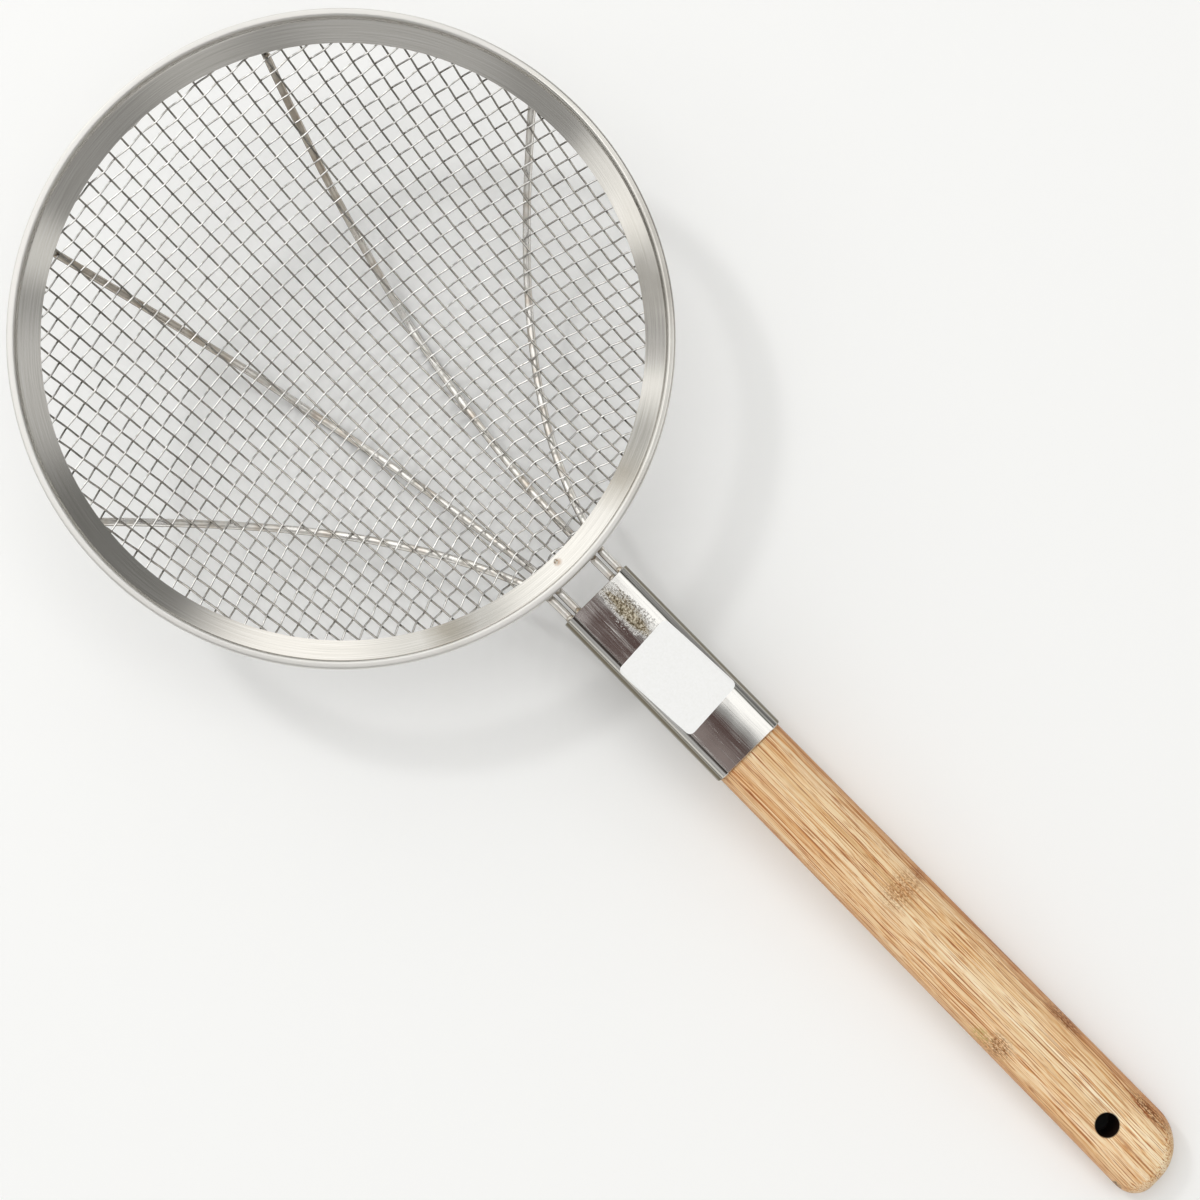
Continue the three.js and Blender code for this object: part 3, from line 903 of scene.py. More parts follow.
@dataclass(frozen=True)
class Bamboo(Finish):
    """Laminated bamboo, sanded and oiled: pale tan, with brown fibre lines, speckled nodes and glue lines.

    The fibre bundles are 0.2 to 0.4 mm wide and are drawn a little wider so that they show. Each pattern has
    a name, a size in mm along and across the grain, and its levels of finer detail.
    """

    name: str = "laminated_bamboo"
    slot: str = "bamboo"
    base: str = "#F9E3BC"
    roughness: float = 0.5
    dullest: float = 0.14
    glossiest: float = -0.1
    hole_mm: Plan = (395.5, -2.6)
    hole_wall_dark: str = "#1A0D07"
    hole_wall_dark_mm: Plan = (4.85, 4.4)
    wander_mm: float = 83.333
    drift_mm: Point = (0.0, 2.4, 2.4)
    patterns: tuple[tuple[str, Point, float], ...] = (
        ("fibre", (58.0, 0.33, 0.33), 1.0), ("dash", (12.0, 0.3, 0.3), 2.0),
        ("streak", (95.0, 1.3, 1.3), 4.0), ("band", (200.0, 5.5, 5.5), 1.0),
    )
    ground: Stops = ((0.3, "#E0BC8A"), (0.42, "#F0D2A5"), (0.52, "#F9E3BC"), (0.64, "#FFF0D3"))
    fibres: Stops = ((0.33, "#A8652A"), (0.39, "#DBA668"), (0.45, "#F8E6CA"), (0.49, "#FFFFFF"))
    fibre_strength: float = 0.9
    dashes: Stops = ((0.34, "#A35E20"), (0.39, "#E0B27C"), (0.43, "#FFFFFF"))
    dash_strength: float = 0.75
    tints: tuple[BambooTint, ...] = (
        BambooTint("X", 380.0, 205.0, "#F7F3EF", 1.0),
        BambooTint("Y", 3.0, -11.0, "#F8E8DC", 0.6),
        # The next three tints darken the bands along both long edges: partly the edge strips' own colour,
        # partly painted shade on the rounded edges.
        BambooTint("Y", -12.5, -15.4, "#E6C49A", 0.6),
        BambooTint("Y", 6.0, 10.5, "#F1E9E1", 1.0),
        BambooTint("Y", 10.8, 14.6, "#D9AA74", 0.75),
    )
    fleck_mm: Point = (1.11111, 0.526316, 0.526316)
    mark_core: float = 0.15
    marks: tuple[BambooMark, ...] = (
        BambooMark((283.5, 4.0), (9.0, 12.0), "#A46F3C", 1.2),
        BambooMark((283.5, 12.6), (5.0, 2.6), "#8A4F2A", 1.0),
        BambooMark((348.0, -10.6), (8.5, 6.4), "#8A5628", 1.1),
        BambooMark((340.5, -12.2), (6.5, 3.4), "#B29A50", 0.8),
        BambooMark((358.0, 13.2), (13.0, 2.6), "#7A4520", 1.4),
        BambooMark((403.0, 11.8), (14.0, 3.0), "#7A4520", 1.6),
        # Painted shade: a near-black spot at the tip stands for a small nick.
        BambooMark((414.4, -15.0), (2.6, 1.2), "#2E1D10", 2.0),
    )
    glue: str = "#96450C"
    glue_width_mm: float = 0.4
    glue_strength: float = 0.55
    glue_lines_mm: tuple[tuple[float, float, float, float], ...] = (
        (378.0, 12.8, 415.0, 8.9), (399.8, -2.6, 423.0, -2.9), (326.0, 10.7, 347.0, 11.9),
    )

    def detail(self, tree: Tree) -> Links:
        """Lays fibres, bands, nodes and glue lines along the handle.

        Args:
            tree: Tree of the material.

        Returns:
            What feeds the shader.
        """
        place = LAY.coordinates(tree)
        axes = add(tree, "ShaderNodeSeparateXYZ", {"Vector": place})
        wander = add(tree, "ShaderNodeTexNoise", {
            "Vector": place, "Scale": 1.0 / (self.wander_mm * MM), "Detail": 2.0,
        })
        drift = add(tree, "ShaderNodeVectorMath", {
            0: wander.outputs["Color"], 1: tuple(c * MM for c in self.drift_mm),
        }, operation="MULTIPLY")
        bent = add(tree, "ShaderNodeVectorMath", {0: place, 1: drift}, operation="ADD")
        grain = {
            label: stretched(tree, bent, cell, detail=finer, roughness=0.62)
            for label, cell, finer in self.patterns
        }
        tones = formula(tree, grain, (
            ("broad", "MULTIPLY", "band", 0.45),
            ("narrow", "MULTIPLY", "streak", 0.55),
            ("tone", "ADD", "broad", "narrow"),
        ))
        layers = [
            (self.fibre_strength, add(tree, "ShaderNodeValToRGB", {"Fac": grain["fibre"]}, self.fibres)),
            (self.dash_strength, add(tree, "ShaderNodeValToRGB", {"Fac": grain["dash"]}, self.dashes)),
        ]
        for tint in self.tints:
            share = add(tree, "ShaderNodeMapRange", {
                "Value": axes.outputs[tint.axis], "From Min": tint.near * MM, "From Max": tint.far * MM,
                "To Max": tint.strength,
            }, interpolation_type="SMOOTHSTEP")
            layers.append((share, tint.colour))
        ground = add(tree, "ShaderNodeValToRGB", {"Fac": tones["tone"]}, self.ground)
        colour = layered(tree, ground, layers, "MULTIPLY")
        return {
            "Specular IOR Level": 0.4,
            "Base Color": layered(tree, colour, self.markings(tree, place, bent, axes)),
            "Roughness": add(tree, "ShaderNodeMapRange", {
                "Value": grain["fibre"],
                "To Min": self.roughness + self.dullest, "To Max": self.roughness + self.glossiest,
            }),
            "Normal": add(tree, "ShaderNodeBump", {
                "Strength": 0.3, "Distance": 0.12 * MM, "Height": grain["fibre"],
            }),
        }

    def markings(self, tree: Tree, place: Node, bent: Node, axes: Node) -> list[tuple[Value, str]]:
        """Draws the specks of the nodes, the glue lines and the near-black wall of the drilled hole.

        Args:
            tree: Tree of the material.
            place: Coordinates in the rim's frame.
            bent: The same, wandering with the grain.
            axes: The coordinates' separate axes.

        Returns:
            How much of each marking shows, with its colour.
        """
        flecks = stretched(tree, bent, self.fleck_mm, detail=3.0, roughness=0.7)
        specks = add(tree, "ShaderNodeMapRange", {"Value": flecks, "From Min": 0.42, "From Max": 0.62})
        layers: list[tuple[Value, str]] = []
        for spot in self.marks:
            near = add(tree, "ShaderNodeMapRange", {
                "Value": plan_reach(tree, place, spot.place, spot.reach),
                "From Min": 1.0, "From Max": self.mark_core, "To Max": spot.strength,
            }, interpolation_type="SMOOTHSTEP")
            dots = add(tree, "ShaderNodeMath", {0: near, 1: specks}, operation="MULTIPLY", use_clamp=True)
            layers.append((dots, spot.colour))
        for x0, y0, x1, y1 in self.glue_lines_mm:
            slope = (y1 - y0) / (x1 - x0)
            parts = formula(tree, {"x": axes.outputs["X"], "y": axes.outputs["Y"], "flecks": flecks}, (
                ("climb", "MULTIPLY", "x", slope),
                ("line", "ADD", "climb", (y0 - slope * x0) * MM),
                ("off", "SUBTRACT", "y", "line"),
                ("gap", "ABSOLUTE", "off"),
                ("width", "MULTIPLY", "flecks", self.glue_width_mm * MM),
                ("on", "LESS_THAN", "gap", "width"),
                ("past start", "GREATER_THAN", "x", x0 * MM),
                ("before end", "LESS_THAN", "x", x1 * MM),
                ("inside", "MULTIPLY", "past start", "before end"),
                ("drawn", "MULTIPLY", "inside", "on"),
                ("faint", "MULTIPLY", "drawn", self.glue_strength),
            ))
            layers.append((parts["faint"], self.glue))
        # The drilled hole's wall is darkened near-black.
        hole_wall_darkened = add(tree, "ShaderNodeMapRange", {
            "Value": plan_reach(tree, place, self.hole_mm),
            "From Min": self.hole_wall_dark_mm[0], "From Max": self.hole_wall_dark_mm[1],
        })
        return [*layers, (hole_wall_darkened, self.hole_wall_dark)]


@dataclass(frozen=True)
class LabelPaper(Finish):
    """Blank coated paper: matt white with a faint cloudiness from its fibres."""

    name: str = "coated_label_paper"
    slot: str = "label_paper"
    base: str = "#FAFAF9"
    roughness: float = 0.6
    fibre_mm: float = 0.9
    dark: str = "#F4F4F2"
    light: str = "#FCFCFB"

    def detail(self, tree: Tree) -> Links:
        """Clouds the paper and roughens it slightly.

        Args:
            tree: Tree of the material.

        Returns:
            What feeds the shader.
        """
        fibres = add(tree, "ShaderNodeTexNoise", {
            "Vector": LAY.coordinates(tree), "Scale": 1.0 / (self.fibre_mm * MM),
            "Detail": 6.0, "Roughness": 0.7,
        })
        return {
            "Specular IOR Level": 0.35,
            "Base Color": add(tree, "ShaderNodeValToRGB", {"Fac": fibres}, (
                (0.3, self.dark), (0.6, self.base), (0.8, self.light),
            )),
            "Normal": add(tree, "ShaderNodeBump", {"Strength": 0.1, "Distance": 0.04 * MM, "Height": fibres}),
        }


def dress(obj: Object, material: Material, slot: str, *nodes: str) -> Object:
    """Gives a piece its material, puts it under the body and hides the CAD nodes that it stands for.

    Args:
        obj: Finished piece.
        material: Its material.
        slot: Record slot of the material; not used.
        nodes: CAD nodes that the piece stands for.

    Returns:
        The same object.
    """
    obj.data.materials.clear()
    obj.data.materials.append(material)
    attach(obj, BODY)
    if nodes:
        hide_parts(*nodes)
    LOG.info("%s: %d faces", obj.name, len(obj.data.polygons))
    return obj


@dataclass
class WovenNet:
    """The bowl's net: two sets of crimped wires woven over and under each other, pressed into a bowl.

    The pressing has drawn the wires together towards the handle and bowed the cross wires.
    """

    warp_pitch: float = 5.7
    weft_pitch: float = 5.93
    weft_growth: float = 0.00405
    fan: float = 0.001545
    bow: float = 0.0024
    wire_radius: float = 0.37
    warp_crimp: float = 0.12
    weft_crimp: float = 0.66
    half_count: int = 23
    steps_per_cell: int = 6
    sides: int = 6
    warp: PaintedShadeWarpWire = field(default_factory=PaintedShadeWarpWire)
    weft: DrawnWire = field(default_factory=DrawnWire)

    def tree(self) -> Tree:
        """Builds the geometry tree that weaves one set of wires on the bowl's surface.

        Returns:
            The tree.
        """
        tree, given = geometry_tree("woven_wires", {
            **dict.fromkeys(("Half Count", "Steps Per Cell", "Sides"), "NodeSocketInt"),
            "Weft": "NodeSocketBool",
            **dict.fromkeys((
                "Warp Pitch", "Weft Pitch", "Weft Growth", "Fan", "Bow", "Wire Radius", "Crimp",
                "Cap Radius", "Cap Centre", "Bend Radius", "Leaf Slope", "Edge Radius",
            ), "NodeSocketFloat"),
            "Material": "NodeSocketMaterial",
        })
        sizes = {socket.name: socket for socket in given.outputs if socket.name}
        counts = formula(tree, sizes, (
            ("first", "MULTIPLY", "Half Count", -1.0),
            ("wires", "MULTIPLY_ADD", "Half Count", 2.0, 1.0),
            ("stations", "MULTIPLY", "wires", "Steps Per Cell"),
            ("step", "DIVIDE", 1.0, "Steps Per Cell"),
        ))
        start_wire = add(tree, "ShaderNodeCombineXYZ", {"Y": counts["first"]})
        start_point = add(tree, "ShaderNodeCombineXYZ", {"X": counts["first"]})
        stride = add(tree, "ShaderNodeCombineXYZ", {"X": counts["step"]})
        wires = add(tree, "GeometryNodeMeshLine", {
            "Count": counts["wires"], "Start Location": start_wire, "Offset": (0.0, 1.0, 0.0),
        }, mode="OFFSET")
        thread = add(tree, "GeometryNodeMeshLine", {
            "Count": counts["stations"], "Start Location": start_point, "Offset": stride,
        }, mode="OFFSET")
        copies = add(tree, "GeometryNodeInstanceOnPoints", {"Points": wires, "Instance": thread})
        threads = add(tree, "GeometryNodeRealizeInstances", {"Geometry": copies})
        cell = add(tree, "ShaderNodeSeparateXYZ", {"Vector": add(tree, "GeometryNodeInputPosition")})
        chosen = {
            label: add(tree, "GeometryNodeSwitch", {
                "Switch": sizes["Weft"], "False": for_warp, "True": for_weft,
            }, input_type="FLOAT")
            for label, for_warp, for_weft in (
                ("column", cell.outputs["X"], cell.outputs["Y"]),
                ("row", cell.outputs["Y"], cell.outputs["X"]),
                ("way", 1.0, -1.0),
            )
        }
        point = formula(tree, {**sizes, **chosen}, (
            ("plain run", "MULTIPLY", "column", "Weft Pitch"),
            ("growth", "MULTIPLY", "column", "Weft Growth"),
            ("stretch", "ADD", "growth", 1.0),
            ("run", "MULTIPLY", "plain run", "stretch"),
            ("run angle", "DIVIDE", "run", "Cap Radius"),
            ("run sine", "SINE", "run angle"),
            ("reach x", "MULTIPLY", "run sine", "Cap Radius"),
            ("span", "MULTIPLY", "row", "Warp Pitch"),
            ("span angle", "DIVIDE", "span", "Cap Radius"),
            ("span sine", "SINE", "span angle"),
            ("reach y", "MULTIPLY", "span sine", "Cap Radius"),
            ("reach y2", "MULTIPLY", "reach y", "reach y"),
            ("bowed", "MULTIPLY", "reach y2", "Bow"),
            ("x", "ADD", "reach x", "bowed"),
            ("fanned", "MULTIPLY", "reach x", "Fan"),
            ("narrow", "SUBTRACT", 1.0, "fanned"),
            ("y", "MULTIPLY", "reach y", "narrow"),
            ("x2", "MULTIPLY", "x", "x"),
            ("y2", "MULTIPLY", "y", "y"),
            ("radius2", "ADD", "x2", "y2"),
            ("radius", "SQRT", "radius2"),
            ("outside", "GREATER_THAN", "radius", "Edge Radius"),
            ("cap reach", "MINIMUM", "radius", "Bend Radius"),
            ("cap reach2", "MULTIPLY", "cap reach", "cap reach"),
            ("cap2", "MULTIPLY", "Cap Radius", "Cap Radius"),
            ("drop2", "SUBTRACT", "cap2", "cap reach2"),
            ("drop", "SQRT", "drop2"),
            ("cap height", "SUBTRACT", "Cap Centre", "drop"),
            ("past bend", "SUBTRACT", "radius", "cap reach"),
            ("rise", "MULTIPLY", "past bend", "Leaf Slope"),
            ("height", "ADD", "cap height", "rise"),
            ("crossing", "ADD", "column", "row"),
            ("phase", "MULTIPLY", "crossing", math.pi),
            ("wave", "COSINE", "phase"),
            ("swing", "MULTIPLY", "wave", "Crimp"),
            ("lift", "MULTIPLY", "swing", "way"),
            ("share", "DIVIDE", "lift", "Cap Radius"),
            ("fall", "MULTIPLY", "drop", -1.0),
        ))
        surface = add(tree, "ShaderNodeCombineXYZ", {"X": point["x"], "Y": point["y"], "Z": point["height"]})
        outward = add(tree, "ShaderNodeCombineXYZ", {"X": point["x"], "Y": point["y"], "Z": point["fall"]})
        inward = add(tree, "ShaderNodeVectorMath", {0: outward, "Scale": point["share"]}, operation="SCALE")
        woven = add(tree, "ShaderNodeVectorMath", {0: surface, 1: inward}, operation="SUBTRACT")
        trimmed = add(tree, "GeometryNodeDeleteGeometry", {
            "Geometry": threads, "Selection": point["outside"],
        }, domain="POINT")
        placed = add(tree, "GeometryNodeSetPosition", {"Geometry": trimmed, "Position": woven})
        curves = add(tree, "GeometryNodeMeshToCurve", {"Mesh": placed})
        section = add(tree, "GeometryNodeCurvePrimitiveCircle", {
            "Resolution": sizes["Sides"], "Radius": sizes["Wire Radius"],
        })
        tubes = add(tree, "GeometryNodeCurveToMesh", {
            "Curve": curves, "Profile Curve": section, "Fill Caps": True,
        })
        finish_tree(tree, tubes, sizes["Material"])
        return tree

    def build(self) -> None:
        """Weaves both sets of wires and puts them in the net's place."""
        tree = self.tree()
        for wires in WireSet:
            finish = self.weft if wires is WireSet.WEFT else self.warp
            material = finish.material()
            obj = grown(wires.value, bpy.data.meshes.new(wires.value), tree, {
                "Half Count": self.half_count, "Steps Per Cell": self.steps_per_cell, "Sides": self.sides,
                "Weft": wires is WireSet.WEFT, "Warp Pitch": self.warp_pitch, "Weft Pitch": self.weft_pitch,
                "Weft Growth": self.weft_growth, "Fan": self.fan, "Bow": self.bow,
                "Wire Radius": self.wire_radius, "Cap Radius": FORM.cap_radius,
                "Crimp": self.weft_crimp if wires is WireSet.WEFT else self.warp_crimp,
                "Cap Centre": FORM.cap_centre, "Bend Radius": FORM.net_bend.x,
                "Leaf Slope": FORM.leaf_run.y / FORM.leaf_run.x, "Edge Radius": FORM.valley.x,
                "Material": material,
            })
            dress(lay_down(obj), material, finish.slot, "mesh_bowl")


@dataclass
class FoldedRim:
    """The rim: a steel strip folded over the net's edge and rolled round a wire into a bead."""

    facets: int = 360
    sample: float = 0.3
    roll_from: float = 200.0
    roll_to: float = -15.0
    roll_steps: int = 40
    squareness: float = 4.5
    seam_bearing: float = 38.0
    seam_depth: float = 0.08
    seam_width: float = 6.0
    wobble: float = 0.16
    wobble_reach: float = 2.2
    wobble_seed: float = 0.7
    lip_bulge: float = 1 / 3
    finish: BrushedRim = field(default_factory=BrushedRim)

    def centre_line(self) -> Loop:
        """Draws the strip's bent centre line in section.

        Returns:
            Points from the upper lip over the bead to the lower lip, evenly spaced.
        """
        bead = Vector((FORM.rim_radius - FORM.bead_radius, -FORM.bead_radius))
        roll = []
        for step in range(self.roll_steps + 1):
            bearing = self.roll_from + (self.roll_to - self.roll_from) * step / self.roll_steps
            dent = self.seam_depth * math.exp(-((bearing - self.seam_bearing) / self.seam_width) ** 2)
            turn = math.radians(bearing)
            square = abs(math.cos(turn)) ** self.squareness + abs(math.sin(turn)) ** self.squareness
            reach = (FORM.bead_radius - FORM.strip / 2) * square ** (-1 / self.squareness) - dent
            roll.append(bead + reach * Vector((math.cos(turn), math.sin(turn))))
        lower = 2 * FORM.net_below_leaf
        corners = [FORM.lip, FORM.valley, *roll, FORM.below(FORM.valley, lower), FORM.below(FORM.lip, lower)]
        line = [corners[0]]
        for start, end in zip(corners, corners[1:]):
            pieces = max(1, round((end - start).length / self.sample))
            line.extend(start.lerp(end, k / pieces) for k in range(1, pieces + 1))
        return line

    def outline(self) -> Loop:
        """Gives the centre line its thickness.

        Returns:
            Closed outline of the strip's section.
        """
        line = self.centre_line()
        sides: tuple[Loop, Loop] = ([], [])
        for i, point in enumerate(line):
            run = (line[min(i + 1, len(line) - 1)] - line[max(i - 1, 0)]).normalized()
            across = Vector((-run.y, run.x)) * FORM.strip / 2
            sides[0].append(point + across)
            sides[1].append(point - across)
        noses = []
        for end, inner in ((line[0], line[1]), (line[-1], line[-2])):
            noses.append(end + (end - inner).normalized() * FORM.strip * self.lip_bulge)
        return [noses[0], *sides[0], noses[1], *reversed(sides[1])]

    def build(self) -> None:
        """Spins the strip's section, with the slight waves that rolling leaves in it."""
        outline = self.outline()
        rings = []
        for k in range(self.facets):
            turn = math.tau * k / self.facets
            reach = self.wobble_reach
            wave = noise.noise(Vector((reach * math.cos(turn), reach * math.sin(turn), self.wobble_seed)))
            ring = []
            for point in outline:
                inside = min(max((FORM.valley.x - point.x) / FORM.rim_width, 0.0), 1.0)
                height = point.y + self.wobble * wave * inside
                ring.append(Vector((point.x * math.cos(turn), point.x * math.sin(turn), height)))
            rings.append(ring)
        around = [math.tau * FORM.rim_radius * k / self.facets for k in range(self.facets + 1)]
        across = [0.0]
        for start, end in zip(outline, [*outline[1:], outline[0]]):
            across.append(across[-1] + (end - start).length)
        obj = loft("folded_rim", rings, (True, True), lengths=(around, across))
        dress(lay_down(obj), self.finish.material(), self.finish.slot, "rim_band")


@dataclass(frozen=True)
class RodRoute:
    """Route of one support rod in plan.

    Attributes:
        node: CAD node of the rod.
        side: Side of the handle.
        offset: Distance from the middle in the ferrule.
        splay: Slope where it leaves the rim.
        bearing: Bearing of its far end, in degrees.
    """

    node: str
    side: Side
    offset: float
    splay: float
    bearing: float


@dataclass
class SupportRods:
    """Four steel rods that leave the ferrule side by side, pass under the rim and fan out below the net."""

    ferrule_start: float = 130.0
    rod_end: float = 155.0
    fan_points: int = 110
    straight_points: int = 24
    easing: int = 4
    sides: int = 16
    bead_size: Point = (1.9, 1.5, 0.9)
    bead_facets: tuple[int, int] = (12, 7)
    bead_turn: Point = (0.5, 0.5, 3.1)
    bead_seed: int = 4
    rim_weld: Point = (112.1, -1.6, -6.6)
    rim_weld_inset: float = 0.4
    mouth_weld_inset: float = 0.2
    mouth_weld_drop: float = 0.3
    end_weld_step: int = 4
    finish: RodSteel = field(default_factory=RodSteel)
    weld: HeatTintedWeld = field(default_factory=HeatTintedWeld)
    routes: tuple[RodRoute, ...] = (
        RodRoute("support_rod_outer_left", Side.LEFT, 12.6, 0.284, 99.6),
        RodRoute("support_rod_inner_left", Side.LEFT, 8.6, 0.075, 151.8),
        RodRoute("support_rod_inner_right", Side.RIGHT, 8.6, 0.075, 151.8),
        RodRoute("support_rod_outer_right", Side.RIGHT, 12.6, 0.284, 99.6),
    )

    def path(self, route: RodRoute) -> Loop:
        """Follows a rod from the ferrule to its far end.

        Args:
            route: The rod's route.

        Returns:
            Points of its centre line.
        """
        start = FORM.rod_start
        bearing = math.radians(route.bearing)
        far = Vector((math.cos(bearing), math.sin(bearing))) * FORM.valley.x
        length = start.x - far.x
        flare = (far.y - route.offset - route.splay * length) / length ** 2
        points = []
        for k in range(self.straight_points):
            x = self.rod_end + (start.x - self.rod_end) * k / self.straight_points
            points.append(Vector((x, route.side.value * route.offset, start.y)))
        for k in range(self.fan_points + 1):
            run = length * k / self.fan_points
            x, y = start.x - run, route.offset + route.splay * run + flare * run ** 2
            points.append(Vector((x, route.side.value * y, FORM.rod_height(math.hypot(x, y)))))
        for _ in range(self.easing):
            eased = [(a + 2 * b + c) / 4 for a, b, c in zip(points, points[1:], points[2:])]
            points = [points[0], *eased, points[-1]]
        return points

    def sweep_tree(self) -> Tree:
        """Builds the geometry tree that turns a path into a round rod.

        Returns:
            The tree.
        """
        tree, given = geometry_tree("round_rod", {
            "Radius": "NodeSocketFloat", "Sides": "NodeSocketInt", "Material": "NodeSocketMaterial",
        })
        curve = add(tree, "GeometryNodeMeshToCurve", {"Mesh": given.outputs["Geometry"]})
        section = add(tree, "GeometryNodeCurvePrimitiveCircle", {
            "Resolution": given.outputs["Sides"], "Radius": given.outputs["Radius"],
        })
        tube = add(tree, "GeometryNodeCurveToMesh", {
            "Curve": curve, "Profile Curve": section, "Fill Caps": True,
        })
        finish_tree(tree, tube, given.outputs["Material"])
        return tree

    def bead_tree(self) -> Tree:
        """Builds the geometry tree that puts a weld bead on each point.

        Returns:
            The tree.
        """
        tree, given = geometry_tree("weld_beads", {
            "Size": "NodeSocketVector", "Material": "NodeSocketMaterial",
        })
        segments, rings = self.bead_facets
        bead = add(tree, "GeometryNodeMeshUVSphere", {"Segments": segments, "Rings": rings, "Radius": 1.0})
        turn = add(tree, "FunctionNodeRandomValue", {
            "Max": self.bead_turn, "Seed": self.bead_seed,
        }, data_type="FLOAT_VECTOR")
        copies = add(tree, "GeometryNodeInstanceOnPoints", {
            "Points": given.outputs["Geometry"], "Instance": bead,
            "Rotation": turn, "Scale": given.outputs["Size"],
        })
        finish_tree(tree, copies, given.outputs["Material"])
        return tree

    def build(self) -> None:
        """Makes the four rods and the weld beads that hold them."""
        material = self.finish.material()
        sweep = self.sweep_tree()
        welds = []
        for route in self.routes:
            path = self.path(route)
            mesh = bpy.data.meshes.new(route.node)
            mesh.from_pydata(path, [(k, k + 1) for k in range(len(path) - 1)], [])
            name = route.node.replace("support_rod", "round_rod")
            obj = grown(name, mesh, sweep, {
                "Radius": FORM.rod_diameter / 2, "Sides": self.sides, "Material": material,
            })
            dress(lay_down(obj), material, self.finish.slot, route.node)
            y = route.side.value * route.offset
            top = FORM.rod_start.y + FORM.rod_diameter / 2
            welds.append(Vector((FORM.rod_start.x - self.rim_weld_inset, y, top)))
            welds.append(Vector((self.ferrule_start + self.mouth_weld_inset, y, top - self.mouth_weld_drop)))
            welds.append(path[-self.end_weld_step] + Vector((0.0, 0.0, FORM.rod_diameter / 2)))
        welds.append(Vector(self.rim_weld))
        points = bpy.data.meshes.new("weld_points")
        points.from_pydata(welds, [], [])
        weld = self.weld.material()
        beads = grown("weld_beads", points, self.bead_tree(), {"Size": self.bead_size, "Material": weld})
        dress(lay_down(beads), weld, self.weld.slot)


